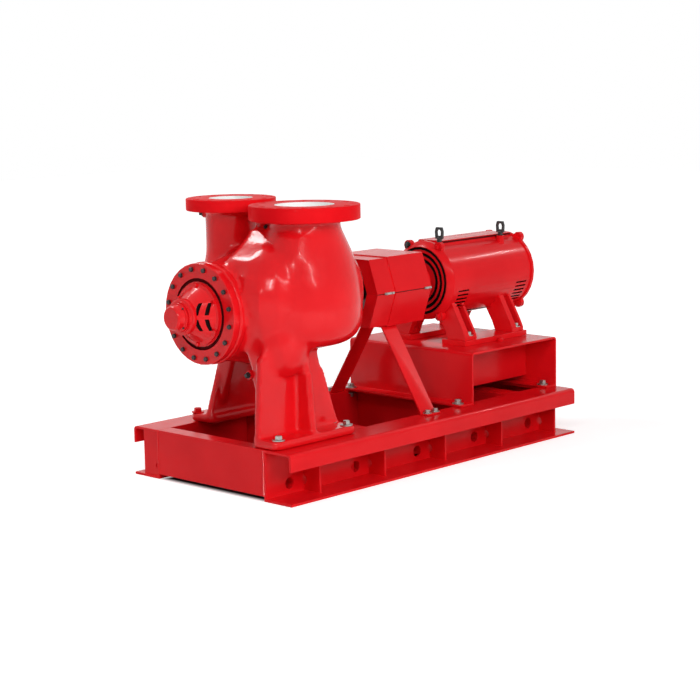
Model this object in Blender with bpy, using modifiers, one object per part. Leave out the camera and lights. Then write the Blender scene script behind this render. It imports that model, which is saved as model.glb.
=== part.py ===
"""Split case pump and motor on a welded channel base.

Lengths are in metres. Places are worked out in the set's own frame: x runs along
the shaft from the base's pump end, y across it with the suction side at minus,
and z up from the floor. The empty called pump_set shifts that frame so that the
scene's origin is on the floor under the middle of the whole set.
"""

import math

import bmesh
import bpy
from mathutils import Matrix, Vector

for old in list(bpy.data.objects):
    bpy.data.objects.remove(old, do_unlink=True)

CLEARANCE = 0.0003
SINK = 0.002

# Base: two lipped channel rails that open outward, tied by cross channels
BASE_WIDTH = 0.792
BASE_HEIGHT = 0.176
BASE_PLATE = 0.009
RAIL_FLANGE = 0.130
RAIL_LIP = 0.060
RAIL_BEND = 0.014
GUSSET_FIRST = 0.180
FAR_GUSSET_FIRST = 0.006
GUSSET_PITCH = 0.325
GUSSET_DEPTH = 0.075
RAIL_HOLE_RADIUS = 0.020
RAIL_HOLE_HEIGHT = 0.045
RAIL_HOLE_SETBACK = 0.068
CROSS_FLANGE = 0.075
CROSS_LIFT = 0.017
END_FLANGE = 0.060

# Pump casing
PUMP_X = 0.280
SHAFT_RISE = 0.436
SUCTION_RISE = 0.359
DISCHARGE_RISE = 0.367
CASING_HALF = 0.280
HUB_RADIUS = 0.168
HUB_RIM_RADIUS = 0.175
HUB_RIM = 0.027
VOLUTE_RADIUS = 0.212
VOLUTE_HALF = 0.035
SUCTION_OFFSET = 0.205
SUCTION_FLANGE_RADIUS = 0.1905
SUCTION_FLANGE_THICK = 0.052
SUCTION_BORE = 0.103
SUCTION_NECK = 0.120
SUCTION_BOWL = 0.206
SUCTION_BOWL_SQUEEZE = 0.89
SHOULDER_REACH = 0.0785
SHOULDER_OFFSET = 0.1665
SHOULDER_RISE = 0.050
SHOULDER_SIZE = (0.185, 0.165, 0.200)
SUCTION_BOLT_CIRCLE = 0.1651
SUCTION_BOLT_HOLE = 0.0127
DISCHARGE_OFFSET = 0.158
DISCHARGE_FLANGE_RADIUS = 0.15875
DISCHARGE_FLANGE_THICK = 0.043
DISCHARGE_BORE = 0.078
DISCHARGE_NECK = 0.092
DISCHARGE_THROAT = 0.142
DISCHARGE_BOLT_CIRCLE = 0.13495
DISCHARGE_BOLT_HOLE = 0.0111
FLANGE_BOLTS = 12

# Feet of the casing
FOOT_THICK = 0.030
FOOT_WIDTH = 0.125
FOOT_CORNER = 0.028
FOOT_FROM_EDGE = 0.071
FAR_FOOT_FROM_EDGE = 0.088
NEAR_FOOT_X0 = 0.005
NEAR_FOOT_X1 = 0.400
FAR_FOOT_X0 = 0.185
FAR_FOOT_X1 = 0.445
LEG_WALL = 0.028
LEG_RIB_X = 0.203
LEG_BOSS_X = 0.150
LEG_BOSS_OFFSET = 0.235
LEG_BOSS_DROP = 0.100
LEG_BOSS_SIZE = (0.085, 0.075, 0.115)

# End covers, bearing brackets and caps
COVER_RADIUS = 0.173
COVER_THICK = 0.026
COVER_GROOVE_RADIUS = 0.117
COVER_GROOVE_WIDTH = 0.011
COVER_GROOVE_DEPTH = 0.007
BRACKET_FOOT_RADIUS = 0.106
BRACKET_LENGTH = 0.092
BRACKET_WALL = 0.010
BRACKET_NOSE_RADIUS = 0.062
BRACKET_SLOT_WIDTH = 0.009
BRACKET_SLOT_HEIGHT = 0.040
CAP_RADIUS = 0.042
CAP_RIM_RADIUS = 0.050
CAP_RIM = 0.007
NOSE_CAP_LENGTH = 0.0345
SHAFT_CAP_LENGTH = 0.020

# Shafts and coupling
PUMP_SHAFT_RADIUS = 0.022
MOTOR_SHAFT_RADIUS = 0.024
COUPLING_RADIUS = 0.070
COUPLING_BOSS_RADIUS = 0.038
COUPLING_HUB_LENGTH = 0.073
COUPLING_FACE = 0.045
SLEEVE_LENGTH = 0.050
SLEEVE_RADIUS = 0.076
COUPLING_FROM_CAP = 0.032

# Guard
GUARD_FROM_COVER = 0.109
GUARD_LENGTH = 0.290
GUARD_LAP = 0.095
GUARD_HALF_HEIGHT = 0.124
GUARD_TOP_HALF = 0.112
GUARD_SIDE_HALF = 0.155
GUARD_SHEET = 0.004
GUARD_HOLE_SHARE = 0.66
GUARD_LEG_WIDTH = 0.076
GUARD_LEG_SHEET = 0.006
GUARD_LEG_TOE = 0.034
GUARD_LEG_NEAR_FROM_END = 0.120
GUARD_LEG_FAR_FROM_END = 0.234

# Motor
MOTOR_FROM_GUARD = 0.155
MOTOR_RADIUS = 0.145
MOTOR_LENGTH = 0.460
MOTOR_BRACKET = 0.036
MOTOR_BOSS = 0.010
MOTOR_LUG_CIRCLE = 0.151
MOTOR_LUG_RADIUS = 0.020
MOTOR_LUG_THICK = 0.019
MOTOR_BAND_HALF = 0.060
MOTOR_BAND_THICK = 0.006
MOTOR_FOOT_LENGTH = 0.068
MOTOR_FOOT_SETBACK = 0.004
MOTOR_FOOT_PITCH = 0.285
MOTOR_FOOT_REACH = 0.186
MOTOR_FOOT_THICK = 0.026
MOTOR_SLOT_LENGTH = 0.062
MOTOR_SLOT_HEIGHT = 0.006
MOTOR_SLOT_DEPTH = 0.020
MOTOR_SLOTS = 6
RING_VENTS = (0.125, 0.103, 0.081)
RING_VENT_WIDTH = 0.012
RING_VENT_DEPTH = 0.013
PAD_WIDTH = 0.115
PAD_THICK = 0.020
TERMINAL_LENGTH = 0.170
TERMINAL_DEPTH = 0.108
TERMINAL_HEIGHT = 0.140
EYE_THICK = 0.010
EYE_WIDTH = 0.038
EYE_HEIGHT = 0.056
EYE_SHANK = 0.014
REAR_EYE_FROM_END = 0.105

# Riser under the motor
RISER_PLATE = 0.008
RISER_BEND = 0.014
RISER_HEIGHT = 0.196
RISER_TOE = 0.063
RISER_FROM_EDGE = 0.086
RISER_LEAD = 0.105
RISER_LENGTH = 0.512
RISER_TO_END = 0.003
RISER_WEB_SETBACK = 0.145
RISER_WEB_LIFT = 0.030

ROUND = 32
BORE_TURN = math.radians(2.7)

# Places that follow from the sizes
SHAFT_Z = BASE_HEIGHT + SHAFT_RISE
SUCTION_Z = SHAFT_Z + SUCTION_RISE
DISCHARGE_Z = SHAFT_Z + DISCHARGE_RISE
RAIL_OUTER = BASE_WIDTH / 2
RAIL_INNER = RAIL_OUTER - RAIL_FLANGE
DECK = BASE_HEIGHT + CLEARANCE
COVER_HALF = CASING_HALF + CLEARANCE + COVER_THICK
BRACKET_END = COVER_HALF + CLEARANCE + BRACKET_LENGTH
CAP_START = BRACKET_END + CLEARANCE
NOSE_X = PUMP_X - CAP_START - NOSE_CAP_LENGTH
SHAFT_CAP_END = PUMP_X + CAP_START + SHAFT_CAP_LENGTH
GUARD_X0 = PUMP_X + COVER_HALF + GUARD_FROM_COVER
GUARD_X1 = GUARD_X0 + GUARD_LENGTH
MOTOR_X0 = GUARD_X1 + MOTOR_FROM_GUARD
MOTOR_X1 = MOTOR_X0 + MOTOR_LENGTH
MOTOR_TAIL_X = MOTOR_X1 + CLEARANCE + MOTOR_BRACKET + MOTOR_BOSS
RISER_X0 = MOTOR_X0 - RISER_LEAD
RISER_X1 = RISER_X0 + RISER_LENGTH
RISER_TOP = BASE_HEIGHT + RISER_HEIGHT
RISER_HALF = RAIL_OUTER - RISER_FROM_EDGE
PAD_Z = RISER_TOP + CLEARANCE
MOTOR_SOLE = PAD_Z + PAD_THICK + CLEARANCE
BASE_LENGTH = RISER_X1 + RISER_TO_END
EYE_OFFSET = MOTOR_LUG_CIRCLE * math.cos(math.radians(60))
FRONT_EYE_SEAT = (SHAFT_Z + MOTOR_LUG_CIRCLE * math.sin(math.radians(60))
                  + MOTOR_LUG_RADIUS * math.cos(math.radians(18)))
REAR_EYE_SEAT = SHAFT_Z + MOTOR_RADIUS
X_MIDDLE = (NOSE_X + max(BASE_LENGTH, MOTOR_TAIL_X)) / 2

parts = bpy.data.collections.new("split_case_pump")
bpy.context.scene.collection.children.link(parts)
cutters = bpy.data.collections.new("cutters")
bpy.context.scene.collection.children.link(cutters)
pump_set = bpy.data.objects.new("pump_set", None)
bpy.context.scene.collection.objects.link(pump_set)
pump_set.location = (-X_MIDDLE, 0, 0)

RED = ((0.82, 0.018, 0.022), 0.0, 0.3)
STEEL = ((0.48, 0.48, 0.49), 0.9, 0.35)
BLACK = ((0.02, 0.02, 0.022), 0.0, 0.5)
RUBBER = ((0.02, 0.02, 0.022), 0.0, 0.8)


def material(name, finish):
    colour, metallic, roughness = finish
    made = bpy.data.materials.new(name)
    made.use_nodes = True
    shader = made.node_tree.nodes["Principled BSDF"]
    shader.inputs["Base Color"].default_value = (*colour, 1.0)
    shader.inputs["Metallic"].default_value = metallic
    shader.inputs["Roughness"].default_value = roughness
    made.diffuse_color = (*colour, 1.0)
    return made


def settle(shape, name, smooth=False):
    """Names a finished shape, puts it with the cutters and hangs it on the set's empty."""
    for home in list(shape.users_collection):
        home.objects.unlink(shape)
    cutters.objects.link(shape)
    shape.name = name
    shape.data.name = name
    shape.parent = pump_set
    shape.hide_render = True
    shape.display_type = "WIRE"
    if smooth:
        shape.data.shade_smooth()
        shape.data.set_sharp_from_angle(angle=math.radians(32))
    return shape


def part(shape, finish=RED):
    """Makes a shape one of the set's parts, with a material of its own."""
    cutters.objects.unlink(shape)
    parts.objects.link(shape)
    shape.hide_render = False
    shape.display_type = "TEXTURED"
    shape.data.materials.clear()
    shape.data.materials.append(material(shape.name + "_finish", finish))
    return shape


def flatten(shape):
    """Applies the modifiers and the turn of an object, so its mesh is plain."""
    bpy.context.view_layer.update()
    evaluated = shape.evaluated_get(bpy.context.evaluated_depsgraph_get())
    mesh = bpy.data.meshes.new_from_object(evaluated)
    mesh.transform(shape.matrix_world)
    plain = bpy.data.objects.new(shape.name, mesh)
    bpy.context.scene.collection.objects.link(plain)
    bpy.data.objects.remove(shape, do_unlink=True)
    return plain


def clean(shape, reach=1e-5):
    body = bmesh.new()
    body.from_mesh(shape.data)
    bmesh.ops.remove_doubles(body, verts=body.verts, dist=reach)
    bmesh.ops.recalc_face_normals(body, faces=body.faces)
    body.to_mesh(shape.data)
    body.free()
    return shape


def box(name, low, high, rounding=0.0):
    size = Vector(high) - Vector(low)
    centre = (Vector(high) + Vector(low)) / 2
    bpy.ops.mesh.primitive_cube_add(size=1, location=centre)
    shape = bpy.context.active_object
    shape.scale = size
    bpy.ops.object.transform_apply(location=False, rotation=False, scale=True)
    if rounding:
        bevel = shape.modifiers.new("rounding", "BEVEL")
        bevel.width = rounding
        bevel.segments = 2
    return settle(flatten(shape), name)


def rod(name, centre, axis, radius, length, steps=24):
    """Cylinder that starts at the centre point and runs along the axis."""
    bpy.ops.mesh.primitive_cylinder_add(vertices=steps, radius=radius, depth=length)
    shape = bpy.context.active_object
    turn = Vector((0, 0, 1)).rotation_difference(Vector(axis))
    shape.rotation_mode = "QUATERNION"
    shape.rotation_quaternion = turn
    shape.location = Vector(centre) + Vector(axis) * length / 2
    return settle(flatten(shape), name, smooth=True)


def ball(name, centre, size, steps, rings):
    """Sphere stretched to the three half sizes."""
    bpy.ops.mesh.primitive_uv_sphere_add(segments=steps, ring_count=rings, radius=1)
    shape = bpy.context.active_object
    shape.scale = size
    shape.location = centre
    return settle(flatten(shape), name, smooth=True)


def turned(name, outline, origin, axis, steps=ROUND, start=0.0):
    """Screws an outline of (along, radius) pairs round an axis. It runs from low to high."""
    mesh = bpy.data.meshes.new(name)
    profile = [(radius, 0, along) for along, radius in reversed(outline)]
    count = len(profile)
    closed = outline[0][1] > 0
    edges = [(i, (i + 1) % count) for i in range(count if closed else count - 1)]
    mesh.from_pydata(profile, edges, [])
    shape = bpy.data.objects.new(name, mesh)
    bpy.context.scene.collection.objects.link(shape)
    screw = shape.modifiers.new("turn", "SCREW")
    screw.steps = steps
    screw.render_steps = steps
    screw.use_merge_vertices = True
    screw.merge_threshold = 0.00001
    if axis == "x":
        shape.rotation_euler = (0, math.pi / 2, 0)
    else:
        shape.rotation_euler = (0, 0, start)
    shape.location = origin
    return settle(clean(flatten(shape)), name, smooth=True)


def plate(name, outline, axis, start, end):
    """Flat outline filled and thickened along the named axis.

    The outline's pairs are (y, z) for x, (x, z) for y and (x, y) for z.
    """
    curve = bpy.data.curves.new(name, "CURVE")
    curve.dimensions = "2D"
    curve.fill_mode = "BOTH"
    curve.extrude = abs(end - start) / 2
    spline = curve.splines.new("POLY")
    spline.points.add(len(outline) - 1)
    for point, (u, v) in zip(spline.points, outline):
        point.co = (u, v, 0, 1)
    spline.use_cyclic_u = True
    shape = bpy.data.objects.new(name, curve)
    bpy.context.scene.collection.objects.link(shape)
    middle = (start + end) / 2
    if axis == "x":
        turn = Matrix(((0, 0, 1), (1, 0, 0), (0, 1, 0)))
        place = Vector((middle, 0, 0))
    elif axis == "y":
        turn = Matrix(((1, 0, 0), (0, 0, -1), (0, 1, 0)))
        place = Vector((0, middle, 0))
    else:
        turn = Matrix.Identity(3)
        place = Vector((0, 0, middle))
    shape.matrix_world = Matrix.Translation(place) @ turn.to_4x4()
    return settle(clean(flatten(shape)), name)


def joined(name, shapes):
    """Several separate solids as one cutter."""
    body = bmesh.new()
    for shape in shapes:
        body.from_mesh(shape.data)
        bpy.data.objects.remove(shape, do_unlink=True)
    mesh = bpy.data.meshes.new(name)
    body.to_mesh(mesh)
    body.free()
    whole = bpy.data.objects.new(name, mesh)
    bpy.context.scene.collection.objects.link(whole)
    return settle(whole, name)


def combine(target, tool, operation):
    step = target.modifiers.new(tool.name, "BOOLEAN")
    step.operation = operation
    step.solver = "EXACT"
    step.object = tool
    return target


def weld(target, tool):
    return combine(target, tool, "UNION")


def cut(target, tool):
    return combine(target, tool, "DIFFERENCE")


def arc(centre, radius, start, end, steps):
    found = []
    for i in range(steps + 1):
        angle = math.radians(start + (end - start) * i / steps)
        found.append((centre[0] + radius * math.cos(angle), centre[1] + radius * math.sin(angle)))
    return found


def rounded_plan(x0, x1, y0, y1, radius):
    found = arc((x1 - radius, y1 - radius), radius, 0, 90, 4)
    found += arc((x0 + radius, y1 - radius), radius, 90, 180, 4)
    found += arc((x0 + radius, y0 + radius), radius, 180, 270, 4)
    found += arc((x1 - radius, y0 + radius), radius, 270, 360, 4)
    return found


def make_rail(name, first, far):
    web = -RAIL_INNER - BASE_PLATE
    section = [(-RAIL_OUTER, 0), (-RAIL_INNER, 0), (-RAIL_INNER, BASE_HEIGHT)]
    bend = (-RAIL_OUTER + RAIL_BEND, BASE_HEIGHT - RAIL_BEND)
    section += arc(bend, RAIL_BEND, 90, 180, 4)
    section += [(-RAIL_OUTER, BASE_HEIGHT - RAIL_LIP),
                (-RAIL_OUTER + BASE_PLATE, BASE_HEIGHT - RAIL_LIP)]
    section += arc(bend, RAIL_BEND - BASE_PLATE, 180, 90, 2)
    section += [(web, BASE_HEIGHT - BASE_PLATE), (web, BASE_PLATE), (-RAIL_OUTER, BASE_PLATE)]
    rail = plate(name, section, "x", 0, BASE_LENGTH)
    gussets = []
    holes = []
    x = first
    while x < BASE_LENGTH - RAIL_HOLE_RADIUS:
        notch = RAIL_HOLE_RADIUS * 0.8
        outline = [(web + SINK, BASE_PLATE - SINK)]
        outline += arc((web + SINK, RAIL_HOLE_HEIGHT), notch, 270, 90, 4)
        outline += [(web + SINK, BASE_HEIGHT - BASE_PLATE + SINK),
                    (web - GUSSET_DEPTH, BASE_HEIGHT - BASE_PLATE + SINK),
                    (web - GUSSET_DEPTH, BASE_PLATE - SINK)]
        gussets.append(plate("gusset", outline, "x", x, x + BASE_PLATE))
        if x > RAIL_HOLE_SETBACK + RAIL_HOLE_RADIUS:
            spot = (x - RAIL_HOLE_SETBACK, web - SINK, RAIL_HOLE_HEIGHT)
            holes.append(rod("hole", spot, (0, 1, 0), RAIL_HOLE_RADIUS, BASE_PLATE + 2 * SINK, 12))
        x += GUSSET_PITCH
    gussets = joined(name + "_gussets", gussets)
    holes = joined(name + "_holes", holes)
    if far:
        for shape in (rail, gussets, holes):
            shape.data.transform(Matrix.Scale(-1, 4, (0, 1, 0)))
            shape.data.flip_normals()
    part(cut(weld(rail, gussets), holes))


def make_cross_channel(name, x, facing, flange):
    """Channel between the rails, with its web at x and its flanges pointing along facing."""
    inner = x + facing * BASE_PLATE
    edge = x + facing * flange
    low = CROSS_LIFT
    outline = [(x, low), (edge, low), (edge, low + BASE_PLATE), (inner, low + BASE_PLATE),
               (inner, BASE_HEIGHT - BASE_PLATE), (edge, BASE_HEIGHT - BASE_PLATE),
               (edge, BASE_HEIGHT), (x, BASE_HEIGHT)]
    reach = RAIL_INNER - CLEARANCE
    part(plate(name, outline, "y", -reach, reach))


def make_base():
    make_rail("base_rail_near", GUSSET_FIRST, False)
    make_rail("base_rail_far", FAR_GUSSET_FIRST, True)
    make_cross_channel("base_end_plate_pump", 0, 1, END_FLANGE)
    make_cross_channel("base_end_plate_motor", BASE_LENGTH, -1, END_FLANGE)
    make_cross_channel("base_cross_member_1", NEAR_FOOT_X1 + RISER_WEB_LIFT, 1, CROSS_FLANGE)
    make_cross_channel("base_cross_member_2", RISER_X0 - BASE_PLATE, 1, CROSS_FLANGE)
    make_cross_channel("base_cross_member_3", RISER_X0 + RISER_LENGTH / 2, 1, CROSS_FLANGE)


def barrel_outline():
    """Casing along the shaft: rim, hub, shoulders and the volute's crown."""
    half = [(VOLUTE_HALF, VOLUTE_RADIUS), (0.072, VOLUTE_RADIUS - 0.008),
            (0.125, HUB_RADIUS + 0.020), (0.180, HUB_RADIUS + 0.009),
            (CASING_HALF - HUB_RIM - 0.004, HUB_RADIUS), (CASING_HALF - HUB_RIM, HUB_RIM_RADIUS),
            (CASING_HALF, HUB_RIM_RADIUS), (CASING_HALF, 0)]
    return [(-along, radius) for along, radius in reversed(half)] + half


def bowl_outline():
    """Suction side from the underside of the bowl up to the flange face."""
    under = SUCTION_Z - SUCTION_FLANGE_THICK
    widest = SHAFT_Z + 0.024
    side = [(widest - 0.152, 0), (widest - 0.148, 0.44), (widest - 0.134, 0.73),
            (widest - 0.110, 0.90), (widest - 0.072, 0.985), (widest, 1.0),
            (widest + 0.075, 0.965), (widest + 0.158, 0.845)]
    found = [(z, SUCTION_BOWL * share) for z, share in side]
    found += [(under - 0.065, SUCTION_NECK + 0.023), (under - 0.027, SUCTION_NECK + 0.003),
              (under - 0.006, SUCTION_NECK), (under, SUCTION_NECK + 0.010)]
    found += [(under + 0.001, SUCTION_FLANGE_RADIUS - 0.002),
              (under + 0.003, SUCTION_FLANGE_RADIUS), (SUCTION_Z - 0.003, SUCTION_FLANGE_RADIUS),
              (SUCTION_Z, SUCTION_FLANGE_RADIUS - 0.003), (SUCTION_Z, 0)]
    return found


def throat_outline():
    """Discharge side from the volute's throat up to the flange face."""
    under = DISCHARGE_Z - DISCHARGE_FLANGE_THICK
    found = [(SHAFT_Z - 0.146, 0), (SHAFT_Z - 0.142, 0.080), (SHAFT_Z - 0.116, 0.120),
             (SHAFT_Z - 0.056, DISCHARGE_THROAT), (SHAFT_Z + 0.024, DISCHARGE_THROAT - 0.002),
             (SHAFT_Z + 0.094, 0.120), (SHAFT_Z + 0.144, DISCHARGE_NECK + 0.006),
             (SHAFT_Z + 0.184, DISCHARGE_NECK), (under - 0.005, DISCHARGE_NECK),
             (under, DISCHARGE_NECK + 0.010), (under + 0.001, DISCHARGE_FLANGE_RADIUS - 0.002),
             (under + 0.003, DISCHARGE_FLANGE_RADIUS),
             (DISCHARGE_Z - 0.003, DISCHARGE_FLANGE_RADIUS),
             (DISCHARGE_Z, DISCHARGE_FLANGE_RADIUS - 0.003), (DISCHARGE_Z, 0)]
    return found


def saddle(name):
    """Thick web that sweeps from the suction neck down to the barrel on both sides."""
    sweep = [(0.200, 0.090), (0.232, 0.140), (0.224, 0.174), (0.185, 0.196), (0.140, 0.224),
             (0.108, 0.254), (0.090, 0.283),
             (0.083, SUCTION_RISE - SUCTION_FLANGE_THICK - 0.0035)]
    outline = [(PUMP_X - x, SHAFT_Z + z) for x, z in sweep]
    outline += [(PUMP_X + x, SHAFT_Z + z) for x, z in reversed(sweep)]
    return plate(name, outline, "y", -0.1575, -0.0485)


def bolt_ring(name, centre, circle, radius, low, high):
    drills = []
    for i in range(FLANGE_BOLTS):
        angle = 2 * math.pi * (i + 0.5) / FLANGE_BOLTS
        spot = (centre[0] + circle * math.cos(angle), centre[1] + circle * math.sin(angle), low)
        drills.append(rod("drill", spot, (0, 0, 1), radius, high - low, 8))
    return joined(name, drills)


def make_leg(tag, side, x0, x1, rib_x, panel, from_edge):
    """Foot, panel and rib of one leg. The panel's outline is (x, z) pairs."""
    outer = RAIL_OUTER - from_edge
    inner = outer - FOOT_WIDTH
    top = DECK + FOOT_THICK
    y0, y1 = sorted((side * outer, side * inner))
    foot = plate(tag + "_foot", rounded_plan(x0, x1, y0, y1, FOOT_CORNER), "z", DECK, top)
    near_wall = inner + 0.012
    y0, y1 = sorted((side * near_wall, side * (near_wall + LEG_WALL)))
    wall = plate(tag + "_panel", panel, "y", y0, y1)
    rib = [(side * (near_wall + 0.013), top - SINK), (side * (outer - 0.013), top - SINK),
           (side * (outer - 0.041), SHAFT_Z - 0.090), (side * (near_wall + 0.013), SHAFT_Z - 0.05)]
    stem = plate(tag + "_rib", rib, "x", rib_x - LEG_WALL / 2, rib_x + LEG_WALL / 2)
    gusset = [(side * (near_wall + 0.013), top - SINK), (side * (inner - 0.07), SHAFT_Z - 0.14),
              (side * (inner - 0.09), SHAFT_Z - 0.05), (side * (near_wall + 0.013), SHAFT_Z - 0.05)]
    web = plate(tag + "_web", gusset, "x", x0 + 0.055, x0 + 0.055 + LEG_WALL)
    return foot, wall, stem, web


def make_casing():
    """One casting: barrel, suction bowl, discharge throat, ridges and both feet."""
    casing = turned("casing", barrel_outline(), (PUMP_X, 0, SHAFT_Z), "x")
    bowl = turned("suction_bowl", bowl_outline(), (PUMP_X, -SUCTION_OFFSET, 0), "z")
    under = SUCTION_Z - SUCTION_FLANGE_THICK - 0.025
    for vertex in bowl.data.vertices:
        share = min(1, max(0, (under - vertex.co.z) / 0.12))
        squeeze = 1 - (1 - SUCTION_BOWL_SQUEEZE) * share
        vertex.co.y = -SUCTION_OFFSET + (vertex.co.y + SUCTION_OFFSET) * squeeze
    weld(casing, bowl)
    for tag, facing in (("pump_end", -1), ("drive_end", 1)):
        place = (PUMP_X + facing * SHOULDER_REACH, -SHOULDER_OFFSET, SHAFT_Z + SHOULDER_RISE)
        weld(casing, ball("shoulder_" + tag, place, SHOULDER_SIZE, 16, 11))
    place = (LEG_BOSS_X, -LEG_BOSS_OFFSET, SHAFT_Z - LEG_BOSS_DROP)
    weld(casing, ball("leg_boss", place, LEG_BOSS_SIZE, 14, 9))
    weld(casing, turned("discharge_throat", throat_outline(), (PUMP_X, DISCHARGE_OFFSET, 0),
                        "z", 32))
    weld(casing, saddle("suction_saddle"))
    low = DECK + FOOT_THICK - SINK
    near_panel = [(NEAR_FOOT_X0 + 0.003, low), (NEAR_FOOT_X1 - 0.006, low),
                  (NEAR_FOOT_X1 - 0.085, SHAFT_Z - 0.19), (NEAR_FOOT_X1 - 0.115, SHAFT_Z - 0.08),
                  (NEAR_FOOT_X0 + 0.075, SHAFT_Z - 0.06), (NEAR_FOOT_X0 + 0.020, SHAFT_Z - 0.15)]
    far_panel = [(FAR_FOOT_X0 + 0.003, low), (FAR_FOOT_X1 - 0.006, low),
                 (FAR_FOOT_X1 - 0.060, SHAFT_Z - 0.19), (FAR_FOOT_X1 - 0.080, SHAFT_Z - 0.08),
                 (FAR_FOOT_X0 + 0.115, SHAFT_Z - 0.08)]
    for shape in make_leg("near", -1, NEAR_FOOT_X0, NEAR_FOOT_X1, LEG_RIB_X, near_panel,
                          FOOT_FROM_EDGE):
        weld(casing, shape)
    middle = (FAR_FOOT_X0 + FAR_FOOT_X1) / 2
    for shape in make_leg("far", 1, FAR_FOOT_X0, FAR_FOOT_X1, middle, far_panel,
                          FAR_FOOT_FROM_EDGE):
        weld(casing, shape)
    floor = SHAFT_Z + 0.024
    bore = [(floor, 0), (floor + 0.012, SUCTION_BORE * 0.55), (floor + 0.040, SUCTION_BORE * 0.88),
            (floor + 0.080, SUCTION_BORE), (SUCTION_Z + 0.01, SUCTION_BORE), (SUCTION_Z + 0.01, 0)]
    cut(casing, turned("suction_bore", bore, (PUMP_X, -SUCTION_OFFSET, 0), "z", 28, BORE_TURN))
    bore = [(floor, 0), (floor + 0.010, DISCHARGE_BORE * 0.55),
            (floor + 0.035, DISCHARGE_BORE * 0.88), (floor + 0.065, DISCHARGE_BORE),
            (DISCHARGE_Z + 0.01, DISCHARGE_BORE), (DISCHARGE_Z + 0.01, 0)]
    cut(casing, turned("discharge_bore", bore, (PUMP_X, DISCHARGE_OFFSET, 0), "z", 28, BORE_TURN))
    cut(casing, bolt_ring("suction_bolt_holes", (PUMP_X, -SUCTION_OFFSET), SUCTION_BOLT_CIRCLE,
                          SUCTION_BOLT_HOLE, SUCTION_Z - SUCTION_FLANGE_THICK - SINK,
                          SUCTION_Z + SINK))
    cut(casing, bolt_ring("discharge_bolt_holes", (PUMP_X, DISCHARGE_OFFSET),
                          DISCHARGE_BOLT_CIRCLE, DISCHARGE_BOLT_HOLE,
                          DISCHARGE_Z - DISCHARGE_FLANGE_THICK - SINK, DISCHARGE_Z + SINK))
    part(casing)


def outward(outline, facing):
    """An outline measured from the pump's middle, turned to the pump or the drive end."""
    if facing > 0:
        return outline
    return [(-along, radius) for along, radius in reversed(outline)]


def make_bearing_end(tag, facing, cap_outline):
    centre = (PUMP_X, 0, SHAFT_Z)
    hole = PUMP_SHAFT_RADIUS + 0.008
    back = CASING_HALF + CLEARANCE
    groove = COVER_GROOVE_RADIUS
    half_groove = COVER_GROOVE_WIDTH / 2
    cover = [(back, hole), (back, COVER_RADIUS), (COVER_HALF - 0.002, COVER_RADIUS),
             (COVER_HALF, COVER_RADIUS - 0.002), (COVER_HALF, groove + half_groove),
             (COVER_HALF - COVER_GROOVE_DEPTH, groove + half_groove),
             (COVER_HALF - COVER_GROOVE_DEPTH, groove - half_groove),
             (COVER_HALF, groove - half_groove), (COVER_HALF, hole)]
    part(turned("cover_plate_" + tag, outward(cover, facing), centre, "x"))
    start = COVER_HALF + CLEARANCE
    wall = BRACKET_WALL
    collar = BRACKET_END - 0.026
    bracket = [(start, BRACKET_FOOT_RADIUS - 0.022), (start, BRACKET_FOOT_RADIUS),
               (start + 0.009, BRACKET_FOOT_RADIUS), (start + 0.011, BRACKET_FOOT_RADIUS - 0.010),
               (start + 0.018, BRACKET_FOOT_RADIUS - 0.014),
               (collar - 0.004, BRACKET_NOSE_RADIUS - 0.004), (collar, BRACKET_NOSE_RADIUS),
               (collar + 0.016, BRACKET_NOSE_RADIUS), (collar + 0.018, CAP_RIM_RADIUS + 0.004),
               (BRACKET_END, CAP_RIM_RADIUS + 0.004), (BRACKET_END, hole), (collar, hole),
               (collar - 0.004 - wall / 2, BRACKET_NOSE_RADIUS - 0.004 - wall),
               (start + 0.014, BRACKET_FOOT_RADIUS - 0.014 - wall)]
    bracket = turned("bearing_bracket_" + tag, outward(bracket, facing), centre, "x", 26)
    windows = []
    for y in (0.078, 0.056, -0.056, -0.078):
        for z in (0.027, -0.027):
            reach = sorted((PUMP_X + facing * (start + 0.012), PUMP_X + facing * (collar - 0.004)))
            half = BRACKET_SLOT_WIDTH / 2
            windows.append(box(
                "window",
                (reach[0], y - half, SHAFT_Z + z - BRACKET_SLOT_HEIGHT / 2),
                (reach[1], y + half, SHAFT_Z + z + BRACKET_SLOT_HEIGHT / 2)))
    part(cut(bracket, joined("windows_" + tag, windows)))
    part(turned("bearing_cap_" + tag, outward(cap_outline, facing), centre, "x", 24))


def make_pump_ends():
    tip = CAP_START + NOSE_CAP_LENGTH
    blind = [(CAP_START, 0), (CAP_START, CAP_RIM_RADIUS), (CAP_START + CAP_RIM, CAP_RIM_RADIUS),
             (CAP_START + CAP_RIM + 0.001, CAP_RADIUS), (tip - 0.005, CAP_RADIUS - 0.001),
             (tip, CAP_RADIUS - 0.006), (tip, 0)]
    make_bearing_end("pump_end", -1, blind)
    tip = CAP_START + SHAFT_CAP_LENGTH
    hole = PUMP_SHAFT_RADIUS + CLEARANCE
    through = [(CAP_START, hole), (CAP_START, CAP_RIM_RADIUS),
               (CAP_START + CAP_RIM, CAP_RIM_RADIUS), (CAP_START + CAP_RIM + 0.001, CAP_RADIUS),
               (tip, CAP_RADIUS - 0.002), (tip, hole)]
    make_bearing_end("drive_end", 1, through)


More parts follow.
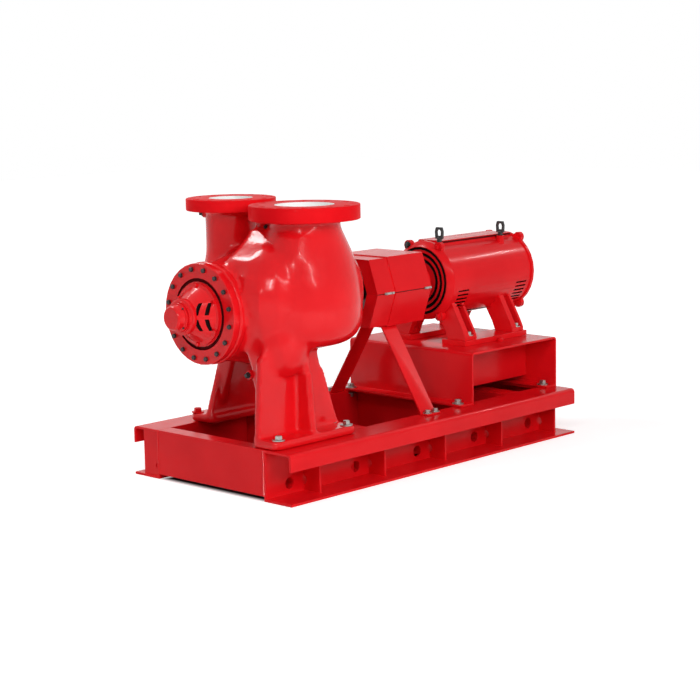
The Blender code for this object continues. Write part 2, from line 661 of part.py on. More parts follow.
def make_coupling():
    shaft_line = (0, 0, SHAFT_Z)
    hub0 = SHAFT_CAP_END + COUPLING_FROM_CAP
    hub1 = hub0 + COUPLING_HUB_LENGTH
    other0 = hub1 + SLEEVE_LENGTH
    other1 = other0 + COUPLING_HUB_LENGTH
    start = PUMP_X + CASING_HALF + CLEARANCE + 0.004
    part(rod("pump_shaft", (start, 0, SHAFT_Z), (1, 0, 0), PUMP_SHAFT_RADIUS,
             hub1 + 0.004 - start, 32), STEEL)
    motor_start = other0 + 0.003
    part(rod("motor_shaft", (motor_start, 0, SHAFT_Z), (1, 0, 0), MOTOR_SHAFT_RADIUS,
             MOTOR_X0 + 0.080 - motor_start, 32), STEEL)
    bore = PUMP_SHAFT_RADIUS + CLEARANCE
    hub = [(hub0, bore), (hub0, COUPLING_BOSS_RADIUS), (hub1 - COUPLING_FACE, COUPLING_BOSS_RADIUS),
           (hub1 - COUPLING_FACE, COUPLING_RADIUS), (hub1, COUPLING_RADIUS), (hub1, bore)]
    part(turned("coupling_hub_pump", hub, shaft_line, "x", 24), STEEL)
    bore = MOTOR_SHAFT_RADIUS + CLEARANCE
    hub = [(other0, bore), (other0, COUPLING_RADIUS), (other0 + COUPLING_FACE, COUPLING_RADIUS),
           (other0 + COUPLING_FACE, COUPLING_BOSS_RADIUS + 0.002),
           (other1, COUPLING_BOSS_RADIUS + 0.002), (other1, bore)]
    part(turned("coupling_hub_motor", hub, shaft_line, "x", 24), STEEL)
    low = hub1 + CLEARANCE
    high = other0 - CLEARANCE
    ring = [(low, COUPLING_BOSS_RADIUS), (low, SLEEVE_RADIUS), (high, SLEEVE_RADIUS),
            (high, COUPLING_BOSS_RADIUS)]
    part(turned("coupling_sleeve", ring, shaft_line, "x", 24), RUBBER)


def guard_section(up, grow):
    """Folded sheet over half of the coupling, grown outward by a lap's thickness."""
    seam = CLEARANCE / 2
    side = GUARD_SIDE_HALF + grow
    top = GUARD_TOP_HALF + grow * 0.6
    high = GUARD_HALF_HEIGHT + grow
    t = GUARD_SHEET
    outline = [(-side, seam), (-top, high), (top, high), (side, seam), (side - t * 1.1, seam),
               (top - 0.6 * t, high - t), (-top + 0.6 * t, high - t), (-side + t * 1.1, seam)]
    sign = 1 if up else -1
    return [(y, SHAFT_Z + sign * z) for y, z in outline]


def end_section(up):
    """Half of the guard's end wall, with half of the opening for the shaft."""
    seam = CLEARANCE / 2
    inset = 0.001
    side = GUARD_SIDE_HALF - 2 * inset
    top = GUARD_TOP_HALF - inset
    high = GUARD_HALF_HEIGHT - inset
    share = GUARD_HOLE_SHARE
    outline = [(-side, seam), (-top, high), (top, high), (side, seam), (side * share, seam),
               (top * share, high * share), (-top * share, high * share), (-side * share, seam)]
    sign = 1 if up else -1
    return [(y, SHAFT_Z + sign * z) for y, z in outline]


def make_guard():
    lap = GUARD_X0 + GUARD_LAP
    for name, up in (("guard_upper", True), ("guard_lower", False)):
        sheet = plate(name, guard_section(up, 0), "x", GUARD_X0, lap + 0.030)
        weld(sheet, plate(name + "_end", end_section(up), "x", GUARD_X0 + 0.0005,
                          GUARD_X0 + GUARD_SHEET))
        grow = GUARD_SHEET - 0.0005
        weld(sheet, plate(name + "_lap", guard_section(up, grow), "x", lap, GUARD_X1))
        part(sheet)
    make_guard_leg("guard_leg_near", GUARD_X0 + GUARD_LEG_NEAR_FROM_END, -1)
    make_guard_leg("guard_leg_far", GUARD_X0 + GUARD_LEG_FAR_FROM_END, 1)


def make_guard_leg(name, x, side):
    """Bent strap from under the guard down to a toe on the rail."""
    under = SHAFT_Z - GUARD_HALF_HEIGHT - (GUARD_SHEET - 0.0005) - CLEARANCE
    t = GUARD_LEG_SHEET
    foot = RAIL_INNER + 0.014
    outline = [(0.060, under), (0.060, under - t), (0.092, under - t), (foot, DECK),
               (foot + GUARD_LEG_TOE, DECK), (foot + GUARD_LEG_TOE, DECK + t),
               (foot + 0.004, DECK + t), (0.096, under)]
    half = GUARD_LEG_WIDTH / 2
    part(plate(name, [(side * y, z) for y, z in outline], "x", x - half, x + half))


def make_riser():
    """Bent plate table for the motor, with a toe at each end and two webs inside."""
    t = RISER_PLATE
    left = (RISER_X0 + RISER_BEND, RISER_TOP - RISER_BEND)
    right = (RISER_X1 - RISER_BEND, RISER_TOP - RISER_BEND)
    outline = [(RISER_X0 - RISER_TOE, DECK), (RISER_X0 - RISER_TOE, DECK + t),
               (RISER_X0, DECK + t)]
    outline += arc(left, RISER_BEND, 180, 90, 4)
    outline += arc(right, RISER_BEND, 90, 0, 4)
    outline += [(RISER_X1, DECK), (RISER_X1 - RISER_TOE, DECK), (RISER_X1 - RISER_TOE, DECK + t),
                (RISER_X1 - t, DECK + t)]
    outline += arc(right, RISER_BEND - t, 0, 90, 3)
    outline += arc(left, RISER_BEND - t, 90, 180, 3)
    outline += [(RISER_X0 + t, DECK)]
    part(plate("motor_riser", outline, "y", -RISER_HALF, RISER_HALF))
    low = DECK + RISER_WEB_LIFT
    high = RISER_TOP - t - CLEARANCE
    x0 = RISER_X0 + t + CLEARANCE
    x1 = RISER_X1 - t - CLEARANCE
    corner = RISER_BEND - t
    web = [(x0, low), (x1, low), (x1, high - corner), (x1 - corner, high), (x0 + corner, high),
           (x0, high - corner)]
    for tag, side in (("near", -1), ("far", 1)):
        y0, y1 = sorted((side * (RISER_HALF - RISER_WEB_SETBACK),
                         side * (RISER_HALF - RISER_WEB_SETBACK - t)))
        part(plate("riser_web_" + tag, web, "y", y0, y1))


def foot_wall(side):
    """Upright plate of one cast foot, across the shaft."""
    reach = MOTOR_FOOT_REACH
    sole = MOTOR_SOLE
    outline = [(reach, sole), (reach, sole + 0.014), (reach - 0.012, sole + 0.040),
               (0.118, SHAFT_Z - 0.078), (0.090, SHAFT_Z - 0.070), (0.052, SHAFT_Z - 0.128),
               (0.086, sole + 0.034), (0.100, sole)]
    return [(side * y, z) for y, z in outline]


def make_motor_frame():
    frame = rod("motor_frame", (MOTOR_X0, 0, SHAFT_Z), (1, 0, 0), MOTOR_RADIUS, MOTOR_LENGTH,
                ROUND)
    feet = []
    for first in (MOTOR_X0 + MOTOR_FOOT_SETBACK, MOTOR_X0 + MOTOR_FOOT_SETBACK + MOTOR_FOOT_PITCH):
        last = first + MOTOR_FOOT_LENGTH
        for side in (-1, 1):
            feet.append(plate("foot_wall", foot_wall(side), "x", first, first + MOTOR_FOOT_THICK))
            feet.append(plate("foot_fin", foot_wall(side), "x", last - 0.012, last))
            y0, y1 = sorted((side * (MOTOR_FOOT_REACH - 0.001), side * 0.101))
            feet.append(box("foot_sole", (first + 0.001, y0, MOTOR_SOLE + 0.0002),
                            (last - 0.001, y1, MOTOR_SOLE + 0.015)))
    for foot in feet:
        weld(frame, foot)
    boss_x = MOTOR_X1 - REAR_EYE_FROM_END
    weld(frame, rod("rear_eye_boss", (boss_x, -EYE_OFFSET, SHAFT_Z + 0.100), (0, 0, 1), 0.016,
                    REAR_EYE_SEAT - SHAFT_Z - 0.100, 12))
    rise = math.sqrt(MOTOR_RADIUS ** 2 - MOTOR_BAND_HALF ** 2)
    top = SHAFT_Z + MOTOR_RADIUS + MOTOR_BAND_THICK
    band = [(-MOTOR_BAND_HALF, SHAFT_Z + rise - 0.006), (-MOTOR_BAND_HALF + 0.004, top),
            (MOTOR_BAND_HALF - 0.004, top), (MOTOR_BAND_HALF, SHAFT_Z + rise - 0.006)]
    weld(frame, plate("motor_band", band, "x", MOTOR_X0 + 0.022, MOTOR_X1 - 0.022))
    seat_half = TERMINAL_HEIGHT / 2 - 0.020
    middle = (MOTOR_X0 + MOTOR_X1) / 2
    weld(frame, box(
        "terminal_seat",
        (middle - TERMINAL_LENGTH / 2 + 0.025, MOTOR_RADIUS - 0.060, SHAFT_Z - seat_half),
        (middle + TERMINAL_LENGTH / 2 - 0.025, MOTOR_RADIUS + 0.002, SHAFT_Z + seat_half)))
    slots = []
    for x0 in (MOTOR_X0 + 0.024, MOTOR_X1 - 0.024 - MOTOR_SLOT_LENGTH):
        for i in range(MOTOR_SLOTS):
            angle = math.radians(195 + 6.6 * i)
            z = SHAFT_Z + MOTOR_RADIUS * math.sin(angle)
            for side in (-1, 1):
                y = -side * MOTOR_RADIUS * math.cos(angle)
                low = (x0, y - MOTOR_SLOT_DEPTH, z - MOTOR_SLOT_HEIGHT / 2)
                high = (x0 + MOTOR_SLOT_LENGTH, y + MOTOR_SLOT_DEPTH, z + MOTOR_SLOT_HEIGHT / 2)
                slots.append(box("slot", low, high))
    cut(frame, joined("motor_slots", slots))
    cut(frame, rod("motor_frame_bore", (MOTOR_X0 - SINK, 0, SHAFT_Z), (1, 0, 0),
                   MOTOR_SHAFT_RADIUS + 0.006, 0.100, 32))
    part(frame)
    seat = MOTOR_RADIUS + 0.002 + CLEARANCE
    part(box("motor_terminal_box",
             (middle - TERMINAL_LENGTH / 2, seat, SHAFT_Z - TERMINAL_HEIGHT / 2),
             (middle + TERMINAL_LENGTH / 2, seat + TERMINAL_DEPTH, SHAFT_Z + TERMINAL_HEIGHT / 2),
             0.008))


def make_motor_bracket(name, x, facing, bore):
    """Cast end bracket with ring vents, a boss and four bolting lugs."""
    outer = MOTOR_BRACKET
    profile = [(0, bore), (0, MOTOR_RADIUS + 0.006), (0.012, MOTOR_RADIUS + 0.006),
               (outer - 0.006, MOTOR_RADIUS - 0.008), (outer, MOTOR_RADIUS - 0.016)]
    for ring in RING_VENTS:
        half = RING_VENT_WIDTH / 2
        profile += [(outer, ring + half), (outer - RING_VENT_DEPTH, ring + half - 0.001),
                    (outer - RING_VENT_DEPTH, ring - half + 0.001), (outer, ring - half)]
    profile += [(outer, bore + 0.028), (outer + MOTOR_BOSS, bore + 0.026),
                (outer + MOTOR_BOSS, bore)]
    bracket = turned(name, outward(profile, facing), (x, 0, SHAFT_Z), "x", 28)
    lugs = []
    for angle in (60, 120, 240, 300):
        across = MOTOR_LUG_CIRCLE * math.cos(math.radians(angle))
        up = MOTOR_LUG_CIRCLE * math.sin(math.radians(angle))
        outline = arc((across, SHAFT_Z + up), MOTOR_LUG_RADIUS, 0, 324, 9)
        x0, x1 = sorted((x + facing * 0.001, x + facing * (0.001 + MOTOR_LUG_THICK)))
        lugs.append(plate("lug", outline, "x", x0, x1))
    part(weld(bracket, joined(name + "_lugs", lugs)))


def make_lifting_eye(name, x, seat):
    """Flat eye on a shank, standing on a lug of the front bracket or on the frame's boss."""
    y = -EYE_OFFSET
    seat += CLEARANCE
    half = EYE_WIDTH / 2
    low = seat + 0.012
    high = low + EYE_HEIGHT - 0.012
    outline = [(y - half * 0.9, low), (y + half * 0.9, low), (y + half, high - 0.016),
               (y + half * 0.74, high), (y - half * 0.74, high), (y - half, high - 0.016)]
    eye = plate(name, outline, "x", x - EYE_THICK / 2, x + EYE_THICK / 2)
    shank = EYE_SHANK / 2
    weld(eye, box(name + "_shank", (x - shank, y - shank, seat), (x + shank, y + shank, low + 0.004)))
    hole = [(y - half * 0.48, low + 0.012), (y + half * 0.48, low + 0.012),
            (y + half * 0.58, high - 0.018), (y + half * 0.36, high - 0.009),
            (y - half * 0.36, high - 0.009), (y - half * 0.58, high - 0.018)]
    cut(eye, plate(name + "_hole", hole, "x", x - EYE_THICK, x + EYE_THICK))
    part(eye, BLACK)


def make_motor():
    for tag, side in (("near", -1), ("far", 1)):
        y0, y1 = sorted((side * (MOTOR_FOOT_REACH + 0.008),
                         side * (MOTOR_FOOT_REACH + 0.008 - PAD_WIDTH)))
        pad_end = MOTOR_X0 + MOTOR_FOOT_SETBACK + MOTOR_FOOT_PITCH + MOTOR_FOOT_LENGTH + 0.012
        part(box("motor_pad_" + tag, (MOTOR_X0 - 0.006, y0, PAD_Z),
                 (pad_end, y1, PAD_Z + PAD_THICK)))
    make_motor_frame()
    make_motor_bracket("motor_bracket_drive_end", MOTOR_X0 - CLEARANCE, -1,
                       MOTOR_SHAFT_RADIUS + CLEARANCE)
    make_motor_bracket("motor_bracket_rear", MOTOR_X1 + CLEARANCE, 1, MOTOR_SHAFT_RADIUS / 2)
    lug_middle = 0.001 + MOTOR_LUG_THICK / 2
    make_lifting_eye("lifting_eye_front", MOTOR_X0 - CLEARANCE - lug_middle, FRONT_EYE_SEAT)
    make_lifting_eye("lifting_eye_rear", MOTOR_X1 - REAR_EYE_FROM_END, REAR_EYE_SEAT)


make_base()
make_casing()
make_pump_ends()
make_coupling()
make_guard()
make_riser()
make_motor()
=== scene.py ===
"""Looks of the split case pump set: enamelled castings, folded guard, motor and fasteners."""

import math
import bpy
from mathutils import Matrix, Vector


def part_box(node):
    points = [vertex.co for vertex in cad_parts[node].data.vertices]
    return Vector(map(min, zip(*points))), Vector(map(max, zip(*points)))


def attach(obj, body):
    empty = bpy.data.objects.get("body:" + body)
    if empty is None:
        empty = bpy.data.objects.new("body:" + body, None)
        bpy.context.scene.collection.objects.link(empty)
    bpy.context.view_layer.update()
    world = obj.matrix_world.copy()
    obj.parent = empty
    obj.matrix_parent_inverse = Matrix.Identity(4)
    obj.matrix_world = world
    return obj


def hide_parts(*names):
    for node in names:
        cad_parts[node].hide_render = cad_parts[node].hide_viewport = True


bl_info = {
    "name": "Split Case Pump Set",
    "version": (1, 1, 0),
    "blender": (4, 5, 0),
    "location": "View3D > Sidebar > Pump Set",
    "description": "Dresses a base-mounted split case pump with its motor and guard",
    "category": "Object",
}

import bmesh
import bpy
from mathutils import Matrix, Vector

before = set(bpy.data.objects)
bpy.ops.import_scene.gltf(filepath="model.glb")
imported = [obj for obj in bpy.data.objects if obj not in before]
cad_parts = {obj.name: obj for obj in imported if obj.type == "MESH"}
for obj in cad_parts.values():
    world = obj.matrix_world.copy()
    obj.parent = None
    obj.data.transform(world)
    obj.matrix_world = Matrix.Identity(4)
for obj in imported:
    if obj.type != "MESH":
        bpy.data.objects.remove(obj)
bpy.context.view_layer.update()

RED = "red_enamel"
BLACK = "black_steel"

FLAT = 0.0005
SEAT = 0.0002
MERGE = 1e-6

# Photograph's camera, found by fitting it to the set's own corners
VIEW_TURN = math.radians(43.5)
VIEW_DROP = math.radians(9.1)
VIEW_ROLL = math.radians(-1.0)
VIEW_DISTANCE = 6.187
VIEW_CENTRE = Vector((-0.4776, -0.417, 0.493))
VIEW_FOCAL_PIXELS = 1852.4
FRAME_PIXELS = 700
SENSOR = 36.0


def low_corner(node):
    return Vector(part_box(node)[0])


def high_corner(node):
    return Vector(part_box(node)[1])


def middle(node):
    return (low_corner(node) + high_corner(node)) / 2


# Places that the castings share
START = low_corner("base_rail_near").x
DECK = high_corner("base_rail_near").z
SHAFT = middle("cover_plate_pump_end").z
PUMP = (low_corner("cover_plate_pump_end").x + high_corner("cover_plate_drive_end").x) / 2
SUCTION_Y = -0.205
DISCHARGE_Y = 0.158
SUCTION_FACE = SHAFT + 0.359
DISCHARGE_FACE = SHAFT + 0.367
BORE_FLOOR = SHAFT + 0.024
SUCTION_BORE = 0.103
DISCHARGE_BORE = 0.078
FOOT_TOP = DECK + 0.0303
MIDST = Vector((0, 0, 0.55))
NECK = Vector((PUMP, -0.28, 0.86))


def spot(x, y, z):
    """A point measured from the base's pump end."""
    return Vector((START + x, y, z))


def settings():
    return bpy.context.scene.pump_sizes


def colours():
    return bpy.context.scene.pump_colours


class PumpSizes(bpy.types.PropertyGroup):
    cover_bolt_circle: bpy.props.FloatProperty(
        name="Cover bolt circle", description="Radius of the circle of cover bolts",
        default=0.153, unit="LENGTH")
    cover_bolt_count: bpy.props.IntProperty(
        name="Cover bolts", description="Bolts round each end cover", default=16)
    cover_bolt: bpy.props.FloatProperty(
        name="Cover bolt", description="Cover bolt head across flats",
        default=0.0145, unit="LENGTH")
    bracket_bolt: bpy.props.FloatProperty(
        name="Bracket bolt", description="Bearing bracket bolt head across flats",
        default=0.013, unit="LENGTH")
    deck_bolt: bpy.props.FloatProperty(
        name="Deck bolt", description="Foot and riser bolt head across flats",
        default=0.0225, unit="LENGTH")
    strap_bolt: bpy.props.FloatProperty(
        name="Strap bolt", description="Guard strap bolt head across flats",
        default=0.017, unit="LENGTH")
    cast_cell: bpy.props.FloatProperty(
        name="Casting cell", description="Size of the cells that the casting is rounded in",
        default=0.006, unit="LENGTH")
    body_passes: bpy.props.IntProperty(
        name="Body passes", description="How often the casting's body is smoothed", default=28)
    saddle_passes: bpy.props.IntProperty(
        name="Saddle passes", description="How often the saddle beside the neck is smoothed",
        default=19)
    edge_passes: bpy.props.IntProperty(
        name="Edge passes", description="How often feet and flanges are smoothed", default=4)
    edge_round: bpy.props.FloatProperty(
        name="Edge rounding", description="Rounding that paint leaves on plate edges",
        default=0.0012, unit="LENGTH")
    lining_wall: bpy.props.FloatProperty(
        name="Lining wall", description="Thickness of the white lining in the nozzles",
        default=0.002, unit="LENGTH")
    weld_bead: bpy.props.FloatProperty(
        name="Weld bead", description="Half width of the base's weld beads",
        default=0.0042, unit="LENGTH")


class PumpColours(bpy.types.PropertyGroup):
    enamel: bpy.props.FloatVectorProperty(
        name="Enamel", description="Glossy red machine enamel", subtype="COLOR",
        size=3, min=0, max=1, default=(0.79, 0.0075, 0.012))
    enamel_deep: bpy.props.FloatVectorProperty(
        name="Deep enamel", description="Where the enamel lies thick", subtype="COLOR",
        size=3, min=0, max=1, default=(0.68, 0.004, 0.008))
    zinc: bpy.props.FloatVectorProperty(
        name="Zinc", description="Plated fasteners", subtype="COLOR",
        size=3, min=0, max=1, default=(0.38, 0.37, 0.35))
    oxide: bpy.props.FloatVectorProperty(
        name="Black oxide", description="Lifting eyes, plugs and dark bolts", subtype="COLOR",
        size=3, min=0, max=1, default=(0.018, 0.017, 0.018))
    steel: bpy.props.FloatVectorProperty(
        name="Steel", description="Shafts and coupling hubs", subtype="COLOR",
        size=3, min=0, max=1, default=(0.16, 0.16, 0.165))
    lining: bpy.props.FloatVectorProperty(
        name="Lining", description="White coating inside the nozzles", subtype="COLOR",
        size=3, min=0, max=1, default=(0.96, 0.96, 0.95))
    floor: bpy.props.FloatVectorProperty(
        name="Floor", description="Studio floor and backdrop", subtype="COLOR",
        size=3, min=0, max=1, default=(0.9, 0.9, 0.9))


# Finishes


def new_group(name, inputs, outputs):
    group = bpy.data.node_groups.new(name, "ShaderNodeTree")
    for label, kind, value in inputs:
        socket = group.interface.new_socket(name=label, in_out="INPUT", socket_type=kind)
        socket.default_value = value
    for label, kind in outputs:
        group.interface.new_socket(name=label, in_out="OUTPUT", socket_type=kind)
    return group, group.nodes.new("NodeGroupInput"), group.nodes.new("NodeGroupOutput")


def noise(tree, vector, scale, detail=3.0, roughness=0.5):
    """A noise pattern; its scale is a socket or a number."""
    node = tree.nodes.new("ShaderNodeTexNoise")
    if isinstance(scale, bpy.types.NodeSocket):
        tree.links.new(scale, node.inputs["Scale"])
    else:
        node.inputs["Scale"].default_value = scale
    node.inputs["Detail"].default_value = detail
    node.inputs["Roughness"].default_value = roughness
    tree.links.new(vector, node.inputs["Vector"])
    return node.outputs["Fac"]


def remap(tree, value, low, high, to_low, to_high):
    node = tree.nodes.new("ShaderNodeMapRange")
    node.inputs["From Min"].default_value = low
    node.inputs["From Max"].default_value = high
    node.inputs["To Min"].default_value = to_low
    node.inputs["To Max"].default_value = to_high
    tree.links.new(value, node.inputs["Value"])
    return node.outputs["Result"]


def maths(tree, operation, first, second):
    """A Math node; either side is a socket or a number."""
    node = tree.nodes.new("ShaderNodeMath")
    node.operation = operation
    for socket, value in zip(node.inputs, (first, second)):
        if isinstance(value, (int, float)):
            socket.default_value = value
        else:
            tree.links.new(value, socket)
    return node.outputs[0]


def mixed(tree, factor, first, second):
    """A colour mix; each colour is a socket or a plain colour."""
    node = tree.nodes.new("ShaderNodeMix")
    node.data_type = "RGBA"
    tree.links.new(factor, node.inputs["Factor"])
    for socket, value in ((node.inputs[6], first), (node.inputs[7], second)):
        if isinstance(value, bpy.types.NodeSocket):
            tree.links.new(value, socket)
        else:
            socket.default_value = (*value, 1)
    return node.outputs[2]


def paint_film_group():
    """Sprayed enamel: thick and thin places, orange peel, and the skin of what it covers."""
    found = bpy.data.node_groups.get("paint_film")
    if found:
        return found
    group, start, end = new_group(
        "paint_film",
        [("Thin Colour", "NodeSocketColor", (1, 0, 0, 1)),
         ("Thick Colour", "NodeSocketColor", (0.5, 0, 0, 1)),
         ("Roughness", "NodeSocketFloat", 0.25),
         ("Peel", "NodeSocketFloat", 1.0),
         ("Cast Skin", "NodeSocketFloat", 1.0)],
        [("Colour", "NodeSocketColor"), ("Roughness", "NodeSocketFloat"),
         ("Height", "NodeSocketFloat")])
    place = group.nodes.new("ShaderNodeTexCoord").outputs["Object"]
    patches = remap(group, noise(group, place, 3.2, 3.0, 0.5), 0.40, 0.70, 0.0, 1.0)
    colour = mixed(group, patches, start.outputs["Thin Colour"], start.outputs["Thick Colour"])
    group.links.new(colour, end.inputs["Colour"])
    haze = remap(group, noise(group, place, 22.0), 0.3, 0.7, -0.03, 0.05)
    group.links.new(maths(group, "ADD", start.outputs["Roughness"], haze),
                    end.inputs["Roughness"])
    peel = maths(group, "MULTIPLY", noise(group, place, 190.0, 1.0, 0.4), start.outputs["Peel"])
    skin = maths(group, "MULTIPLY", noise(group, place, 44.0, 2.0, 0.5),
                 start.outputs["Cast Skin"])
    group.links.new(maths(group, "ADD", peel, skin), end.inputs["Height"])
    return group


def fine_grain_group():
    """Fine uneven sheen: grain between two colours, with its own roughness and height."""
    found = bpy.data.node_groups.get("fine_grain")
    if found:
        return found
    group, start, end = new_group(
        "fine_grain",
        [("Dull Colour", "NodeSocketColor", (0.4, 0.4, 0.4, 1)),
         ("Bright Colour", "NodeSocketColor", (0.5, 0.5, 0.5, 1)),
         ("Roughness", "NodeSocketFloat", 0.4),
         ("Grain", "NodeSocketFloat", 100.0)],
        [("Colour", "NodeSocketColor"), ("Roughness", "NodeSocketFloat"),
         ("Height", "NodeSocketFloat")])
    place = group.nodes.new("ShaderNodeTexCoord").outputs["Object"]
    fine = noise(group, place, start.outputs["Grain"], 3.0, 0.6)
    colour = mixed(group, fine, start.outputs["Dull Colour"], start.outputs["Bright Colour"])
    group.links.new(colour, end.inputs["Colour"])
    haze = remap(group, fine, 0.3, 0.7, -0.08, 0.1)
    group.links.new(maths(group, "ADD", start.outputs["Roughness"], haze),
                    end.inputs["Roughness"])
    group.links.new(fine, end.inputs["Height"])
    return group


def place_group(tree, group, values):
    """Puts a shared effect in a material with the material's own values."""
    node = tree.nodes.new("ShaderNodeGroup")
    node.node_tree = group
    for label, value in values.items():
        node.inputs[label].default_value = value
    return node.outputs


def principled(name):
    material = bpy.data.materials.new(name)
    material.use_nodes = True
    return material, material.node_tree, material.node_tree.nodes["Principled BSDF"]


def bump(tree, shader, height, strength, distance):
    node = tree.nodes.new("ShaderNodeBump")
    node.inputs["Strength"].default_value = strength
    node.inputs["Distance"].default_value = distance
    tree.links.new(height, node.inputs["Height"])
    tree.links.new(node.outputs["Normal"], shader.inputs["Normal"])


def enamel(name, roughness, peel, cast_skin, depth, shine, coat):
    found = bpy.data.materials.get(name)
    if found:
        return found
    material, tree, shader = principled(name)
    film = place_group(tree, paint_film_group(), {
        "Thin Colour": (*colours().enamel, 1),
        "Thick Colour": (*colours().enamel_deep, 1),
        "Roughness": roughness,
        "Peel": peel,
        "Cast Skin": cast_skin,
    })
    tree.links.new(film["Colour"], shader.inputs["Base Color"])
    tree.links.new(film["Roughness"], shader.inputs["Roughness"])
    bump(tree, shader, film["Height"], 0.5, depth)
    shader.inputs["Specular IOR Level"].default_value = shine
    shader.inputs["Coat Weight"].default_value = coat
    shader.inputs["Coat Roughness"].default_value = 0.04
    return material


def cast_enamel():
    return enamel("enamel on casting", 0.17, 0.12, 1.0, 0.0016, 0.16, 0.12)


def sheet_enamel():
    return enamel("enamel on plate", 0.22, 0.3, 0.35, 0.0006, 0.09, 0.05)


def faced_enamel():
    return enamel("enamel on flange", 0.4, 0.3, 0.3, 0.0005, 0.02, 0.01)


def grained(name, colour, metallic, roughness, grain, shine=0.5, spread=0.2):
    """Plain finish with a fine uneven sheen."""
    found = bpy.data.materials.get(name)
    if found:
        return found
    material, tree, shader = principled(name)
    film = place_group(tree, fine_grain_group(), {
        "Dull Colour": (*(c * (1 - spread) for c in colour), 1),
        "Bright Colour": (*(min(1, c * (1 + spread)) for c in colour), 1),
        "Roughness": roughness,
        "Grain": grain,
    })
    tree.links.new(film["Colour"], shader.inputs["Base Color"])
    tree.links.new(film["Roughness"], shader.inputs["Roughness"])
    shader.inputs["Metallic"].default_value = metallic
    shader.inputs["Specular IOR Level"].default_value = shine
    bump(tree, shader, film["Height"], 0.3, 0.0004)
    return material


def zinc():
    return grained("zinc plate", colours().zinc, 0.9, 0.3, 160.0)


def oxide():
    return grained("black oxide", colours().oxide, 0.2, 0.42, 130.0)


def turned_steel():
    return grained("turned steel", colours().steel, 1.0, 0.3, 220.0)


def rubber():
    return grained("sleeve rubber", (0.02, 0.02, 0.022), 0.0, 0.7, 90.0)


def lining():
    return grained("white lining", colours().lining, 0.0, 0.45, 70.0, 0.5, 0.03)


# Dark red painted shade for the covers' grooves; also the dark colour of the motor band's seam
# lines.
def shaded_enamel():
    return grained("shaded enamel", (0.09, 0.003, 0.004), 0.0, 0.7, 60.0, 0.05)


# Near-black colour standing in for shade: painted shade inside vents, slots, windows and the guard,
# and the dark colour of the guard's seam joints.
def painted_shade_and_dark_joint():
    return grained("painted shade and dark joint", (0.012, 0.006, 0.006), 0.0, 0.75, 60.0, 0.05)


# Making pieces


def finish_piece(name, mesh, material, nodes=(), sharp=32.0):
    piece = bpy.data.objects.new(name, mesh)
    bpy.context.scene.collection.objects.link(piece)
    mesh.materials.clear()
    mesh.materials.append(material)
    mesh.shade_smooth()
    mesh.set_sharp_from_angle(angle=math.radians(sharp))
    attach(piece, "root")
    if nodes:
        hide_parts(*nodes)
    return piece


def piece_from(name, shape, material, nodes=(), sharp=32.0):
    bmesh.ops.remove_doubles(shape, verts=shape.verts, dist=MERGE)
    bmesh.ops.recalc_face_normals(shape, faces=shape.faces)
    mesh = bpy.data.meshes.new(name)
    shape.to_mesh(mesh)
    shape.free()
    return finish_piece(name, mesh, material, nodes, sharp)


def node_shape(node):
    """The CAD node's mesh with its loose triangles joined."""
    shape = bmesh.new()
    shape.from_mesh(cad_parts[node].data)
    bmesh.ops.remove_doubles(shape, verts=shape.verts, dist=MERGE)
    return shape


def dress(node, material, width=None, sharp=32.0, dark=None, shade=painted_shade_and_dark_joint):
    """A copy of a CAD node with its flats cleared of seams and its edges rounded.

    Faces that the dark test picks out get the shade finish: a dark colour painted as the shade
    inside, like the inside of a vent.
    """
    shape = node_shape(node)
    for face in shape.faces:
        face.material_index = 1 if dark and dark(face) else 0
    bmesh.ops.dissolve_limit(
        shape, angle_limit=math.radians(0.5), verts=shape.verts, edges=shape.edges,
        use_dissolve_boundaries=False, delimit={"MATERIAL"})
    mesh = bpy.data.meshes.new(node + "_dressed")
    shape.to_mesh(mesh)
    finishes = [face.material_index for face in shape.faces]
    shape.free()
    piece = finish_piece(node + "_painted", mesh, material, (node,), sharp)
    if dark:
        mesh.materials.append(shade())
        mesh.polygons.foreach_set("material_index", finishes)
    rounding = piece.modifiers.new("paint_rounding", "BEVEL")
    rounding.width = width or settings().edge_round
    rounding.segments = 2
    rounding.limit_method = "ANGLE"
    rounding.angle_limit = math.radians(35)
    rounding.use_clamp_overlap = True
    rounding.harden_normals = True
    return piece


def place_along(point, direction):
    """A frame whose Z runs along the direction, standing at the point."""
    turn = Vector((0, 0, 1)).rotation_difference(Vector(direction))
    return Matrix.Translation(point) @ turn.to_matrix().to_4x4()


def add_disc(shape, place, radius, height, steps=20, top=None):
    low = place @ Matrix.Translation((0, 0, height / 2))
    return bmesh.ops.create_cone(
        shape, cap_ends=True, segments=steps, radius1=radius,
        radius2=radius if top is None else top, depth=height, matrix=low)


def add_bolt(shape, point, direction, across, washer=True, turn=0.0):
    """Hex head with a chamfered top, on a washer that sits on the surface."""
    place = place_along(point, direction) @ Matrix.Rotation(turn, 4, "Z")
    lift = 0.0
    if washer:
        lift = across * 0.14
        add_disc(shape, place, across * 0.98, lift)
    corner = across / math.sqrt(3)
    head = across * 0.5
    add_disc(shape, place @ Matrix.Translation((0, 0, lift)), corner, head, 6)
    add_disc(shape, place @ Matrix.Translation((0, 0, lift + head)), corner, across * 0.1, 6,
             corner * 0.86)


def add_nut(shape, point, direction, across):
    """Nut and washer with the bolt's end standing through them."""
    add_bolt(shape, point, direction, across)
    end = Vector(point) + Vector(direction) * across * 0.5
    add_disc(shape, place_along(end, direction), across * 0.3, across * 0.55, 12, across * 0.26)


def add_box(shape, low, high):
    size = Vector(high) - Vector(low)
    centre = (Vector(high) + Vector(low)) / 2
    place = Matrix.Translation(centre) @ Matrix.Diagonal((*size, 1))
    return bmesh.ops.create_cube(shape, size=1, matrix=place)


